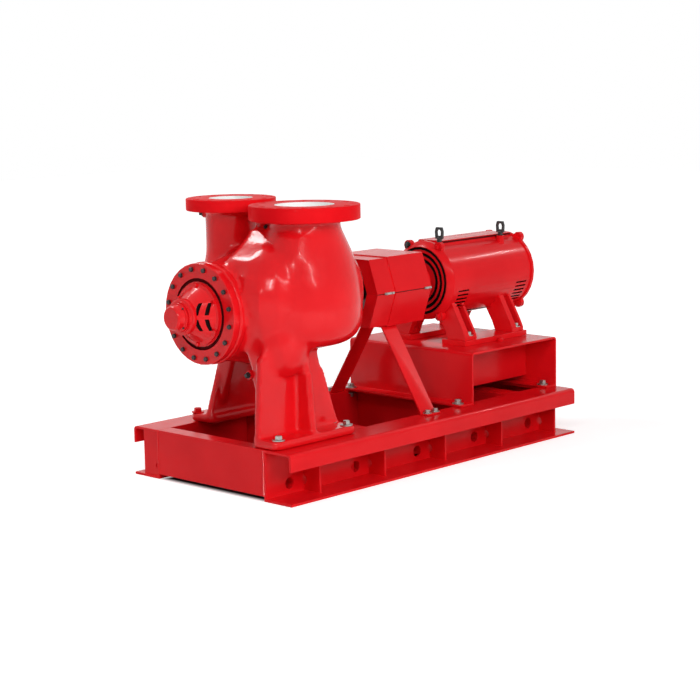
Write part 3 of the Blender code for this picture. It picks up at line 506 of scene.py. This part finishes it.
def add_turned(shape, outline, origin, axis, steps=64, closed=True):
    """Spins an outline of (along, radius) pairs round an axis through the origin."""
    side = Vector((0, 0, 1)) if axis.x else Vector((1, 0, 0))
    verts = [shape.verts.new(origin + axis * a + side * r) for a, r in outline]
    count = len(verts) if closed else len(verts) - 1
    edges = [shape.edges.new((verts[i], verts[(i + 1) % len(verts)])) for i in range(count)]
    bmesh.ops.spin(
        shape, geom=verts + edges, cent=origin, axis=axis, angle=2 * math.pi,
        steps=steps, use_merge=True)


def eased(points, steps):
    """A smooth curve through the points."""
    curve = []
    last = len(points) - 1
    for i in range(last):
        a, b, c, d = (Vector(points[max(0, min(last, i + j))]) for j in (-1, 0, 1, 2))
        for k in range(steps):
            t = k / steps
            curve.append(0.5 * (2 * b + (c - a) * t + (2 * a - 5 * b + 4 * c - d) * t ** 2
                                + (3 * b - 3 * c + d - a) * t ** 3))
    return curve + [Vector(points[last])]


def add_slab(shape, outline, y0, y1):
    """A flat outline of (x, z) pairs given a thickness across the shaft."""
    verts = [shape.verts.new((x, y0, z)) for x, z in outline]
    face = shape.faces.new(verts)
    grown = bmesh.ops.extrude_face_region(shape, geom=[face], use_keep_orig=True)
    moved = [item for item in grown["geom"] if isinstance(item, bmesh.types.BMVert)]
    bmesh.ops.translate(shape, verts=moved, vec=(0, y1 - y0, 0))
    bmesh.ops.recalc_face_normals(shape, faces=shape.faces)


def carved(name, shape, cutter):
    """The mesh of one shape with another cut out of it."""
    things = []
    for label, form in ((name, shape), (name + "_cutter", cutter)):
        bmesh.ops.remove_doubles(form, verts=form.verts, dist=MERGE)
        bmesh.ops.recalc_face_normals(form, faces=form.faces)
        mesh = bpy.data.meshes.new(label)
        form.to_mesh(mesh)
        form.free()
        thing = bpy.data.objects.new(label, mesh)
        bpy.context.scene.collection.objects.link(thing)
        things.append(thing)
    step = things[0].modifiers.new("holes", "BOOLEAN")
    step.operation = "DIFFERENCE"
    step.solver = "EXACT"
    step.object = things[1]
    depsgraph = bpy.context.evaluated_depsgraph_get()
    mesh = bpy.data.meshes.new_from_object(things[0].evaluated_get(depsgraph))
    for thing in things:
        bpy.data.objects.remove(thing)
    return mesh


def add_bead(shape, start, end, width):
    """Weld bead: a row of overlapping ripples along a corner."""
    start = Vector(start)
    run = Vector(end) - start
    count = max(2, round(run.length / (width * 1.25)))
    for i in range(count + 1):
        place = place_along(start + run * i / count, run) @ Matrix.Diagonal((1, 1, 0.8, 1))
        bmesh.ops.create_uvsphere(
            shape, u_segments=7, v_segments=4, radius=width * (0.92 + 0.08 * math.sin(i * 2.4)),
            matrix=place)


class PUMP_OT_casing(bpy.types.Operator):
    """Casting of the pump with cast fillets, and the white lining of its nozzles"""

    bl_idname = "pump.casing"
    bl_label = "Casing"

    # Nozzle: name, offset, face, flange radius, thickness, bore, bolt circle, bolt hole
    NOZZLES = (
        ("suction", SUCTION_Y, SUCTION_FACE, 0.1905, 0.052, SUCTION_BORE, 0.1651, 0.0127),
        ("discharge", DISCHARGE_Y, DISCHARGE_FACE, 0.15875, 0.043, DISCHARGE_BORE, 0.13495,
         0.0111),
    )
    # Side of the saddle: distance from the pump's middle and height above the shaft
    SADDLE = ((0.190, 0.085), (0.222, 0.118), (0.2325, 0.150), (0.222, 0.178), (0.188, 0.206),
              (0.146, 0.238), (0.117, 0.268), (0.098, 0.295), (0.094, 0.306))
    SADDLE_ACROSS = (-0.163, -0.046)
    SKIN = 0.0012

    def execute(self, context):
        sizes = settings()
        shape = node_shape("casing")
        root = SUCTION_BORE + 0.004
        flank = [(x, z) for x, z in eased(self.SADDLE, 5) if x > root]
        flank = [(root, flank[0][1])] + flank + [(root, flank[-1][1] + 0.004)]
        for side in (-1, 1):
            outline = [(PUMP + side * x, SHAFT + z) for x, z in flank]
            add_slab(shape, outline, *self.SADDLE_ACROSS)
        mesh = bpy.data.meshes.new("casing_form")
        shape.to_mesh(mesh)
        shape.free()
        form = bpy.data.objects.new("casing_form", mesh)
        context.scene.collection.objects.link(form)
        cells = form.modifiers.new("cells", "REMESH")
        cells.mode = "VOXEL"
        cells.voxel_size = sizes.cast_cell
        depsgraph = context.evaluated_depsgraph_get()
        cast = bpy.data.meshes.new_from_object(form.evaluated_get(depsgraph))
        bpy.data.objects.remove(form)
        shape = bmesh.new()
        shape.from_mesh(cast)
        self.smooth(shape, shape.verts, sizes.edge_passes)
        body = [v for v in shape.verts if self.in_body(v.co)]
        self.smooth(shape, [v for v in body if not self.on_saddle(v.co)], sizes.body_passes)
        self.smooth(shape, [v for v in body if self.near_saddle(v.co)], sizes.saddle_passes)
        self.round_rims(shape)
        piece_from("casing_cast", shape, cast_enamel(), ("casing",), 60.0)
        for nozzle in self.NOZZLES:
            self.turn_flange(*nozzle)
        self.line_nozzles(sizes.lining_wall)
        return {"FINISHED"}

    def smooth(self, shape, verts, passes):
        for _ in range(passes):
            bmesh.ops.smooth_vert(
                shape, verts=verts, factor=0.5, use_axis_x=True, use_axis_y=True,
                use_axis_z=True)

    def in_body(self, point):
        """The freely shaped part of the casting, away from flanges, feet, rims and bores."""
        if abs(point.x - PUMP) > 0.243 or point.z < SHAFT - 0.205:
            return False
        top = SUCTION_FACE - 0.066 if point.y < 0 else DISCHARGE_FACE - 0.058
        if point.z > top:
            return False
        for y, bore in ((SUCTION_Y, SUCTION_BORE), (DISCHARGE_Y, DISCHARGE_BORE)):
            if point.z > BORE_FLOOR - 0.01:
                if math.hypot(point.x - PUMP, point.y - y) < bore + 0.005:
                    return False
        return True

    def on_saddle(self, point):
        return point.z > SHAFT + 0.10 and -0.178 < point.y < -0.03

    def near_saddle(self, point):
        return point.z > SHAFT + 0.07 and -0.20 < point.y < -0.01

    def round_rims(self, shape):
        """Sets each machined bore and rim on its true circle, the flanges a skin inside."""
        rims = []
        for _, y, face, radius, thick, bore, _, _ in self.NOZZLES:
            rims.append(("z", (PUMP, y), bore, SHAFT + 0.12, face + 0.001, 0))
            rims.append(("z", (PUMP, y), radius, face - thick - 0.002, face + 0.001, self.SKIN))
        for side in (-1, 1):
            low, high = sorted((PUMP + side * 0.276, PUMP + side * 0.257))
            rims.append(("x", (0, SHAFT), 0.175, low, high, 0))
        for axis, centre, radius, low, high, skin in rims:
            for vert in shape.verts:
                step, u, v = (vert.co.z, vert.co.x, vert.co.y)
                if axis == "x":
                    step, u, v = (vert.co.x, vert.co.y, vert.co.z)
                if not low < step < high:
                    continue
                reach = math.hypot(u - centre[0], v - centre[1])
                if abs(reach - radius) < 0.005:
                    share = (radius - skin * 1.5) / reach
                    u = centre[0] + (u - centre[0]) * share
                    v = centre[1] + (v - centre[1]) * share
                    vert.co = (u, v, step) if axis == "z" else (step, u, v)
        for _, y, face, radius, _, _, _, _ in self.NOZZLES:
            for vert in shape.verts:
                if vert.co.z > face - 0.006:
                    if math.hypot(vert.co.x - PUMP, vert.co.y - y) < radius + 0.002:
                        vert.co.z = min(vert.co.z, face - self.SKIN)

    def turn_flange(self, name, y, face, radius, thick, bore, circle, hole):
        """Turned flange ring with its bolt holes, over the casting's own rough one."""
        lip = 0.003
        outline = [(-thick + 0.0008, bore + 0.012), (-thick + 0.0008, radius - lip),
                   (-thick + lip, radius), (-lip, radius), (-lip * 0.3, radius - lip * 0.3),
                   (-0.0001, radius - lip), (-0.0001, bore + 0.0015), (-0.002, bore + 0.0002),
                   (-0.030, bore + 0.0002)]
        ring = bmesh.new()
        origin = Vector((PUMP, y, face))
        add_turned(ring, outline, origin, Vector((0, 0, 1)), 96)
        drills = bmesh.new()
        for i in range(12):
            angle = 2 * math.pi * (i + 0.5) / 12
            point = origin + Vector((circle * math.cos(angle), circle * math.sin(angle),
                                     -thick - 0.01))
            add_disc(drills, Matrix.Translation(point), hole, thick + 0.02, 24)
        mesh = carved(name + "_flange", ring, drills)
        finish_piece(name + "_flange", mesh, faced_enamel())

    def line_nozzles(self, wall):
        for name, y, bore, face in (("suction_lining", SUCTION_Y, SUCTION_BORE, SUCTION_FACE),
                                    ("discharge_lining", DISCHARGE_Y, DISCHARGE_BORE,
                                     DISCHARGE_FACE)):
            outer = [(0.003, 0), (0.018, bore * 0.52), (0.046, bore * 0.85), (0.088, bore - 0.0008),
                     (face - BORE_FLOOR - 0.001, bore - 0.0008)]
            inner = [(h + wall * 0.7 if r < bore * 0.9 else h, max(0, r - wall))
                     for h, r in outer[:-1]]
            rim = (outer[-1][0], bore - 0.0008 - wall)
            outline = outer + [rim] + list(reversed(inner))
            shape = bmesh.new()
            add_turned(shape, outline, Vector((PUMP, y, BORE_FLOOR)), Vector((0, 0, 1)), 72, False)
            piece_from(name, shape, lining())


class PUMP_OT_covers(bpy.types.Operator):
    """End covers, bearing brackets and caps with painted edges"""

    bl_idname = "pump.covers"
    bl_label = "Covers and bearing brackets"

    GROOVE = (0.110, 0.124)

    def execute(self, context):
        for end, outward in (("pump_end", -1), ("drive_end", 1)):
            cover = "cover_plate_" + end
            face_x = low_corner(cover).x if outward < 0 else high_corner(cover).x
            inside = middle("bearing_bracket_" + end)

            def in_groove(face, face_x=face_x, outward=outward):
                centre = face.calc_center_median()
                reach = math.hypot(centre.y, centre.z - SHAFT)
                sunk = outward * (face_x - centre.x) > 0.001
                return sunk and self.GROOVE[0] < reach < self.GROOVE[1]

            # Faces sunk in the cover's groove get dark red painted shade.
            dress(cover, cast_enamel(), dark=in_groove, shade=shaded_enamel)

            def in_bracket(face, inside=inside):
                centre = face.calc_center_median()
                out = Vector((0, centre.y - inside.y, centre.z - inside.z))
                if out.length > 0.03 and face.normal.dot(out.normalized()) < -0.3:
                    return True
                flat = max(abs(face.normal.y), abs(face.normal.z)) > 0.999
                return flat and 0.050 < abs(out.y) < 0.084 and 0.006 < abs(out.z) < 0.048

            # The cone's inside seen through the windows and the windows' side walls get painted
            # shade.
            dress("bearing_bracket_" + end, cast_enamel(), dark=in_bracket)
            dress("bearing_cap_" + end, cast_enamel(), width=0.002)
        return {"FINISHED"}


class PUMP_OT_fasteners(bpy.types.Operator):
    """Cover bolts, foot bolts, riser bolts and pipe plugs"""

    bl_idname = "pump.fasteners"
    bl_label = "Fasteners"

    BRACKET_BOLT_CIRCLE = 0.1005
    BRACKET_RIM = 0.0092
    CAP_BOLT_CIRCLE = 0.0462
    CAP_RIM = 0.0072
    CAP_BOLT = 0.0062
    RAIL_SHEET = 0.0093
    RISER_TOE = 0.0083
    STRAP_TOE = 0.0063
    MOTOR_BOLT = 0.019
    PAD_AND_SOLE = 0.0352

    def execute(self, context):
        self.bolt_ends()
        self.bolt_deck()
        self.plug_casing()
        return {"FINISHED"}

    def bolt_ends(self):
        sizes = settings()
        for end, outward in (("pump_end", -1), ("drive_end", 1)):
            cover = "cover_plate_" + end
            bracket = "bearing_bracket_" + end
            cap = "bearing_cap_" + end
            axis = (outward, 0, 0)
            rings = (
                ("cover_bolts_", cover, outward, sizes.cover_bolt_circle,
                 sizes.cover_bolt_count, sizes.cover_bolt, oxide(), BLACK),
                ("bracket_bolts_", bracket, -outward, self.BRACKET_BOLT_CIRCLE, 6,
                 sizes.bracket_bolt, cast_enamel(), RED),
                ("cap_bolts_", cap, -outward, self.CAP_BOLT_CIRCLE, 4, self.CAP_BOLT, oxide(),
                 BLACK),
            )
            for name, node, side, circle, count, across, finish, slot in rings:
                face = high_corner(node).x if side > 0 else low_corner(node).x
                if node == bracket:
                    face += outward * self.BRACKET_RIM
                if node == cap:
                    face += outward * self.CAP_RIM
                shape = bmesh.new()
                for i in range(count):
                    angle = 2 * math.pi * (i + 0.5) / count
                    point = (face + outward * SEAT, circle * math.cos(angle),
                             SHAFT + circle * math.sin(angle))
                    add_bolt(shape, point, axis, across, False, angle * 3)
                piece_from(name + end, shape, finish)

    def bolt_deck(self):
        sizes = settings()
        shape = bmesh.new()
        red = bmesh.new()
        up = (0, 0, 1)
        down = (0, 0, -1)
        for x, y in ((0.040, -0.300), (0.368, -0.300), (0.368, -0.226)):
            add_bolt(shape, spot(x, y, FOOT_TOP + SEAT), up, sizes.deck_bolt, turn=x * 9)
            if x > 0.1:
                add_nut(shape, spot(x, y, DECK - self.RAIL_SHEET), down, sizes.deck_bolt)
        for x, y in ((0.207, 0.284), (0.420, 0.284), (0.420, 0.207)):
            add_bolt(red, spot(x, y, FOOT_TOP + SEAT), up, sizes.deck_bolt, turn=x * 9)
        toe = DECK + self.RISER_TOE + SEAT
        for x in (0.998, 1.508):
            for y in (-0.272, 0.272):
                add_bolt(shape, spot(x, y, toe), up, sizes.deck_bolt, turn=x * 5)
                add_nut(shape, spot(x, y, DECK - self.RAIL_SHEET), down, sizes.deck_bolt)
        strap = DECK + self.STRAP_TOE + SEAT
        for x, y in ((0.838, -0.298), (0.795, -0.298), (0.951, 0.298), (0.908, 0.298)):
            add_bolt(shape, spot(x, y, strap), up, sizes.strap_bolt, turn=x)
        sole = low_corner("motor_pad_near").z + self.PAD_AND_SOLE
        for x in (1.1857, 1.4707):
            for y in (-0.168, 0.168):
                add_bolt(shape, spot(x, y, sole + SEAT), up, self.MOTOR_BOLT, turn=x)
        piece_from("deck_bolts", shape, zinc())
        piece_from("far_foot_bolts", red, sheet_enamel())

    def plug_casing(self):
        """Square-headed pipe plugs in the casting's tappings."""
        plugs = bmesh.new()
        bosses = bmesh.new()
        for point, direction, reach, sunk in (
                (spot(0.2167, 0.2247, 0.9245), (-0.69, 0.72, 0), 0.008, 0.010),
                (spot(0.1925, -0.119, 0.8895), (-0.85, 0, 0.53), 0.006, 0.014),
                (spot(0.060, -0.146, 0.408), (-1, 0, 0), 0.004, 0.022),
                (spot(0.3433, 0.2247, 0.9245), (0.69, 0.72, 0), 0.008, 0.010),
                (spot(0.280, -0.030, 0.398), (0, 0, -1), 0.006, 0.022)):
            direction = Vector(direction).normalized()
            base = Vector(point)
            add_disc(bosses, place_along(base - direction * sunk, direction), 0.0165,
                     sunk + reach, 24, 0.0145)
            top = base + direction * reach
            add_disc(plugs, place_along(top, direction), 0.0108, 0.004, 20)
            add_disc(plugs, place_along(top + direction * 0.004, direction), 0.0092, 0.009, 4,
                     0.0082)
        piece_from("pipe_plugs", plugs, oxide())
        piece_from("plug_bosses", bosses, cast_enamel())


class PUMP_OT_coupling(bpy.types.Operator):
    """Shafts, coupling hubs and the rubber sleeve inside the guard"""

    bl_idname = "pump.coupling"
    bl_label = "Coupling"

    def execute(self, context):
        for node in ("pump_shaft", "motor_shaft", "coupling_hub_pump", "coupling_hub_motor"):
            dress(node, turned_steel())
        dress("coupling_sleeve", rubber())
        return {"FINISHED"}


class PUMP_OT_guard(bpy.types.Operator):
    """Folded coupling guard, its seam and its strap legs"""

    bl_idname = "pump.guard"
    bl_label = "Coupling guard"

    LAP = 0.095
    INNER_REACH = 0.155
    OUTER_REACH = 0.1587

    def execute(self, context):
        def inner(face):
            centre = face.calc_center_median()
            out = Vector((0, centre.y, centre.z - SHAFT))
            return face.normal.dot(out) < -0.01 and abs(face.normal.x) < 0.3

        # Inside faces of the guard halves get painted shade.
        for node in ("guard_upper", "guard_lower"):
            dress(node, sheet_enamel(), dark=inner)
        for node in ("guard_leg_near", "guard_leg_far"):
            dress(node, sheet_enamel())
        self.add_catches()
        self.add_seams()
        return {"FINISHED"}

    def add_catches(self):
        """Plated catches that hold the two halves together at the seam."""
        low = low_corner("guard_upper").x
        high = high_corner("guard_upper").x
        shape = bmesh.new()
        for x0, length in ((low + 0.036, 0.050), (high - 0.040, 0.036)):
            reach = self.INNER_REACH if x0 < low + self.LAP - length else self.OUTER_REACH
            for side in (-1, 1):
                y0, y1 = sorted((side * (reach - 0.001), side * (reach + 0.0045)))
                add_box(shape, (x0, y0, SHAFT - 0.0035), (x0 + length, y1, SHAFT + 0.0045))
                for share in (0.2, 0.8):
                    point = (x0 + length * share, side * (reach + 0.004), SHAFT)
                    add_disc(shape, place_along(point, (0, side, 0)), 0.0048, 0.003, 12, 0.0036)
        bmesh.ops.bevel(
            shape, geom=[e for e in shape.edges if e.calc_length() > 0.02], offset=0.001,
            segments=2, affect="EDGES", profile=0.5, material=-1)
        piece_from("guard_catches", shape, zinc())

    def add_seams(self):
        """Dark joint along each side where the halves meet."""
        low = low_corner("guard_upper").x
        lap = low + self.LAP
        high = high_corner("guard_upper").x
        shape = bmesh.new()
        for side in (-1, 1):
            for x0, x1, reach in ((low + 0.0005, lap - 0.001, self.INNER_REACH + 0.0002),
                                  (lap, high - 0.0005, self.OUTER_REACH)):
                y0, y1 = sorted((side * (reach - 0.006), side * (reach + 0.0002)))
                add_box(shape, (x0, y0, SHAFT - 0.0012), (x1, y1, SHAFT + 0.0012))
        piece_from("guard_seams", shape, painted_shade_and_dark_joint())


class PUMP_OT_motor(bpy.types.Operator):
    """Motor shell, brackets, terminal box, pads and lifting eyes"""

    bl_idname = "pump.motor"
    bl_label = "Motor"

    BRACKET_DEPTH = 0.0363
    VENT_REACH = (0.070, 0.1312)
    LUG_CIRCLE = 0.151
    LUG_TOP = 0.0205
    LUG_BOLT = 0.015

    def execute(self, context):
        front = low_corner("motor_frame").x
        back = high_corner("motor_frame").x

        def in_slot(face):
            centre = face.calc_center_median()
            out = Vector((0, centre.y, centre.z - SHAFT))
            inside = abs(centre.x - (front + back) / 2) < (back - front) / 2 - 0.018
            low = -0.125 < out.z < -0.02 and abs(out.y) > 0.084 and out.length < 0.1448
            return inside and low and face.normal.dot(out.normalized()) < 0.9

        # Faces inside the louvre slots get painted shade.
        dress("motor_frame", sheet_enamel(), dark=in_slot, width=0.0008)
        for node, outward in (("motor_bracket_drive_end", -1), ("motor_bracket_rear", 1)):
            seat = front if outward < 0 else back
            face_x = seat + outward * self.BRACKET_DEPTH

            def in_vent(face, face_x=face_x, outward=outward):
                centre = face.calc_center_median()
                reach = math.hypot(centre.y, centre.z - SHAFT)
                sunk = outward * (face_x - centre.x) > 0.0028
                ahead = outward * (centre.x - seat) > 0.012
                return sunk and ahead and self.VENT_REACH[0] < reach < self.VENT_REACH[1]

            # Faces sunk in the vents get painted shade.
            dress(node, sheet_enamel(), dark=in_vent, width=0.0009)
        for node in ("motor_terminal_box", "motor_pad_near", "motor_pad_far"):
            dress(node, sheet_enamel())
        for node in ("lifting_eye_front", "lifting_eye_rear"):
            dress(node, oxide(), width=0.002)
        self.bolt_brackets(front, back)
        self.trim_frame(front, back)
        self.fit_terminal_box()
        return {"FINISHED"}

    def bolt_brackets(self, front, back):
        dark = bmesh.new()
        plain = bmesh.new()
        for seat, outward in ((front, -1), (back, 1)):
            for degrees in (60, 120, 240, 300):
                angle = math.radians(degrees)
                point = (seat + outward * self.LUG_TOP, self.LUG_CIRCLE * math.cos(angle),
                         SHAFT + self.LUG_CIRCLE * math.sin(angle))
                add_bolt(dark if degrees == 60 else plain, point, (outward, 0, 0),
                         self.LUG_BOLT, turn=angle)
        piece_from("motor_top_bolts", dark, oxide())
        piece_from("motor_bracket_bolts", plain, sheet_enamel())

    def trim_frame(self, front, back):
        """Seam lines of the top band, and the bosses on the riser."""
        trim = bmesh.new()
        for side in (-1, 1):
            for y0, y1, z in ((0.0588, 0.0605, 0.1478), (0.0275, 0.0285, 0.1512)):
                low, high = sorted((side * y0, side * y1))
                add_box(trim, (front + 0.023, low, SHAFT + z - 0.006),
                        (back - 0.023, high, SHAFT + z))
        piece_from("motor_band_seams", trim, shaded_enamel())
        shape = bmesh.new()
        pad_top = high_corner("motor_riser").z
        for side in (-1, 1):
            place = place_along(spot(1.329, side * 0.2065, pad_top + SEAT), (0, 0, 1))
            add_disc(shape, place, 0.0125, 0.007, 24)
            add_disc(shape, place @ Matrix.Translation((0, 0, 0.007)), 0.0125, 0.006, 24, 0.006)
        piece_from("riser_bosses", shape, sheet_enamel())

    def fit_terminal_box(self):
        """Cover plate with four screws, and a conduit hub under the box."""
        low = low_corner("motor_terminal_box")
        high = high_corner("motor_terminal_box")
        lid = bmesh.new()
        add_box(lid, (low.x + 0.006, high.y - 0.0005, low.z + 0.006),
                (high.x - 0.006, high.y + 0.004, high.z - 0.006))
        bmesh.ops.bevel(lid, geom=list(lid.edges), offset=0.0012, segments=2, affect="EDGES",
                        profile=0.5, material=-1)
        centre = (low + high) / 2
        hub = place_along((centre.x, centre.y, low.z + 0.002), (0, 0, -1))
        add_disc(lid, hub, 0.024, 0.016, 28)
        add_disc(lid, hub @ Matrix.Translation((0, 0, 0.016)), 0.020, 0.006, 28)
        piece_from("terminal_box_lid", lid, sheet_enamel())
        screws = bmesh.new()
        for x in (low.x + 0.018, high.x - 0.018):
            for z in (low.z + 0.018, high.z - 0.018):
                add_disc(screws, place_along((x, high.y + 0.004, z), (0, 1, 0)), 0.0045, 0.003, 14,
                         0.003)
        piece_from("terminal_box_screws", screws, zinc())


class PUMP_OT_base(bpy.types.Operator):
    """Channel base, cross members and the motor riser with its welds"""

    bl_idname = "pump.base"
    bl_label = "Base and riser"

    WEB_INSIDE = 0.266
    WEB_OUTSIDE = 0.275
    PLATE = 0.009
    BAY = 0.325

    def execute(self, context):
        for node in ("base_rail_near", "base_rail_far", "base_end_plate_pump",
                     "base_end_plate_motor", "base_cross_member_1", "base_cross_member_2",
                     "base_cross_member_3", "motor_riser", "riser_web_near", "riser_web_far"):
            dress(node, sheet_enamel())
        self.weld_gussets()
        self.weld_riser()
        self.sleeve_holes()
        return {"FINISHED"}

    def weld_gussets(self):
        bead = settings().weld_bead
        shape = bmesh.new()
        for side, first in ((-1, 0.180), (1, 0.006)):
            x = first
            while x < 1.52:
                for face in (x, x + self.PLATE):
                    add_bead(shape, spot(face, side * self.WEB_OUTSIDE, 0.067),
                             spot(face, side * self.WEB_OUTSIDE, DECK - 0.012), bead)
                x += self.BAY
        for x in (0.0, 1.5503):
            for side in (-1, 1):
                add_bead(shape, spot(x, side * 0.2665, 0.022), spot(x, side * 0.2665, DECK - 0.006),
                         bead * 0.7)
        piece_from("base_welds", shape, cast_enamel())

    def weld_riser(self):
        bead = settings().weld_bead * 0.8
        low = low_corner("riser_web_near")
        high = high_corner("riser_web_near")
        shape = bmesh.new()
        for side in (-1, 1):
            y = side * abs(low.y)
            add_bead(shape, (low.x + 0.01, y, high.z), (high.x - 0.01, y, high.z), bead)
            for x in (low.x, high.x):
                add_bead(shape, (x, y, low.z + 0.004), (x, y, high.z - 0.01), bead)
        piece_from("riser_welds", shape, sheet_enamel())


    def sleeve_holes(self):
        """Pipe sleeves behind the holes in the rails' webs."""
        wall = [(0, 0.0194), (0.055, 0.0194), (0.055, 0.0222), (0, 0.0222)]
        shape = bmesh.new()
        for side, first in ((-1, 0.112), (1, 0.263)):
            for i in range(5):
                x = first + self.BAY * i
                if x < 1.5:
                    origin = spot(x, side * (self.WEB_INSIDE - SEAT), 0.045)
                    add_turned(shape, wall, origin, Vector((0, -side, 0)), 28)
        piece_from("web_sleeves", shape, sheet_enamel())


def add_lamp(name, direction, distance, width, height, power, aim=MIDST, along=(0, 0, 1),
             mirrored=True):
    """Softbox that stands in the given direction from its aim and has its height along."""
    lamp = bpy.data.lights.new(name, "AREA")
    lamp.shape = "RECTANGLE"
    lamp.size = width
    lamp.size_y = height
    lamp.energy = power
    thing = bpy.data.objects.new(name, lamp)
    bpy.context.scene.collection.objects.link(thing)
    way = Vector(direction).normalized()
    rise = Vector(along).normalized()
    rise = (rise - way * way.dot(rise)).normalized()
    turn = Matrix((rise.cross(way), rise, way)).transposed().to_4x4()
    thing.matrix_world = Matrix.Translation(aim + way * distance) @ turn
    thing.visible_glossy = mirrored


def studio_material(name, colour):
    """Matt floor that the camera sees near white and that takes the shadow, with a painted shadow
    that makes it dark in the well.
    """
    material, tree, shader = principled(name)
    shader.inputs["Roughness"].default_value = 0.9
    shader.inputs["Specular IOR Level"].default_value = 0.1
    shader.inputs["Emission Color"].default_value = (1, 1, 1, 1)
    path = tree.nodes.new("ShaderNodeLightPath").outputs
    seen = maths(tree, "MAXIMUM", path["Is Camera Ray"], path["Is Glossy Ray"])
    seen = maths(tree, "MAXIMUM", seen, path["Is Transmission Ray"])
    parts = tree.nodes.new("ShaderNodeSeparateXYZ")
    tree.links.new(tree.nodes.new("ShaderNodeTexCoord").outputs["Object"], parts.inputs[0])
    base = (low_corner("base_end_plate_pump") + high_corner("base_end_plate_motor")) / 2
    reach = high_corner("base_end_plate_motor").x - base.x
    shift = maths(tree, "SUBTRACT", parts.outputs["X"], base.x)
    across = maths(tree, "ABSOLUTE", shift, 0)
    deep = maths(tree, "ABSOLUTE", parts.outputs["Y"], 0)
    glow = remap(tree, maths(tree, "MAXIMUM", across, deep), 1.3, 3.5, 0.5, 0.85)
    # Painted shadow in the well: inside the base's footprint the floor is dark red-black and does
    # not glow.
    clear = maths(tree, "MAXIMUM", remap(tree, across, reach - 0.03, reach, 0.0, 1.0),
                  remap(tree, deep, 0.245, 0.265, 0.0, 1.0))
    tree.links.new(mixed(tree, clear, (0.03, 0.012, 0.012), colour), shader.inputs["Base Color"])
    light = maths(tree, "MULTIPLY", maths(tree, "MULTIPLY", glow, clear), seen)
    tree.links.new(light, shader.inputs["Emission Strength"])
    return material


class PUMP_OT_stage(bpy.types.Operator):
    """Floor, backdrop, lamps and the photograph's camera"""

    bl_idname = "pump.stage"
    bl_label = "Studio"

    def execute(self, context):
        scene = context.scene
        floor_mesh = bpy.data.meshes.new("studio_floor")
        shape = bmesh.new()
        bmesh.ops.create_grid(shape, x_segments=1, y_segments=1, size=14)
        bmesh.ops.translate(shape, verts=shape.verts, vec=(0, 0, -FLAT))
        shape.to_mesh(floor_mesh)
        shape.free()
        floor = bpy.data.objects.new("studio_floor", floor_mesh)
        scene.collection.objects.link(floor)
        floor_mesh.materials.append(studio_material("studio floor", colours().floor))
        self.light_world(scene)
        add_lamp("key_softbox", (-0.15, -0.91, 0.37), 4.6, 2.2, 1.6, 72, mirrored=False)
        add_lamp("back_softbox", (-0.22, 0.60, 0.77), 4.4, 1.0, 1.0, 75)
        add_lamp("left_strip", (-0.83, -0.42, 0.37), 4.2, 0.14, 1.0, 30, NECK)
        add_lamp("neck_strip", (-0.405, -0.70, 0.405), 4.4, 0.07, 4.0, 50, NECK,
                 (0.45, -0.54, -0.49))
        add_lamp("motor_strip", (0.82, -0.30, 0.52), 4.4, 0.4, 0.15, 12)
        self.set_camera(scene)
        return {"FINISHED"}

    def light_world(self, scene):
        world = bpy.data.worlds.new("studio")
        scene.world = world
        world.use_nodes = True
        tree = world.node_tree
        background = tree.nodes["Background"]
        path = tree.nodes.new("ShaderNodeLightPath").outputs
        seen = maths(tree, "MAXIMUM", path["Is Camera Ray"], path["Is Transmission Ray"])
        seen = maths(tree, "MAXIMUM", seen, path["Is Glossy Ray"])
        background.inputs["Color"].default_value = (1, 1, 1, 1)
        tree.links.new(remap(tree, seen, 0.0, 1.0, 0.24, 1.0), background.inputs["Strength"])
        scene.view_settings.view_transform = "Standard"

    def set_camera(self, scene):
        across = math.cos(VIEW_DROP)
        ahead = Vector((math.cos(VIEW_TURN) * across, math.sin(VIEW_TURN) * across,
                        -math.sin(VIEW_DROP)))
        right = Vector((math.sin(VIEW_TURN), -math.cos(VIEW_TURN), 0))
        up = right.cross(ahead)
        rolled_right = right * math.cos(VIEW_ROLL) + up * math.sin(VIEW_ROLL)
        rolled_up = up * math.cos(VIEW_ROLL) - right * math.sin(VIEW_ROLL)
        data = bpy.data.cameras.new("photo_camera")
        data.sensor_width = SENSOR
        data.lens = VIEW_FOCAL_PIXELS / FRAME_PIXELS * SENSOR
        camera = bpy.data.objects.new("photo_camera", data)
        scene.collection.objects.link(camera)
        turn = Matrix((rolled_right, rolled_up, -ahead)).transposed().to_4x4()
        camera.matrix_world = Matrix.Translation(VIEW_CENTRE - ahead * VIEW_DISTANCE) @ turn
        scene.camera = camera


class PUMP_PT_panel(bpy.types.Panel):
    """Sizes, colours and build steps of the pump set"""

    bl_label = "Pump Set"
    bl_space_type = "VIEW_3D"
    bl_region_type = "UI"
    bl_category = "Pump Set"

    def draw(self, context):
        for group in (context.scene.pump_sizes, context.scene.pump_colours):
            for name in group.__annotations__:
                self.layout.prop(group, name)
        for step in STEPS:
            self.layout.operator(step.bl_idname)


STEPS = (
    PUMP_OT_casing,
    PUMP_OT_covers,
    PUMP_OT_fasteners,
    PUMP_OT_coupling,
    PUMP_OT_guard,
    PUMP_OT_motor,
    PUMP_OT_base,
    PUMP_OT_stage,
)
CLASSES = (PumpSizes, PumpColours, *STEPS, PUMP_PT_panel)


def register():
    for item in CLASSES:
        bpy.utils.register_class(item)
    bpy.types.Scene.pump_sizes = bpy.props.PointerProperty(type=PumpSizes)
    bpy.types.Scene.pump_colours = bpy.props.PointerProperty(type=PumpColours)


def unregister():
    del bpy.types.Scene.pump_colours
    del bpy.types.Scene.pump_sizes
    for item in reversed(CLASSES):
        bpy.utils.unregister_class(item)


def main():
    register()
    for step in STEPS:
        group, name = step.bl_idname.split(".")
        getattr(getattr(bpy.ops, group), name)()


if __name__ == "__main__":
    main()
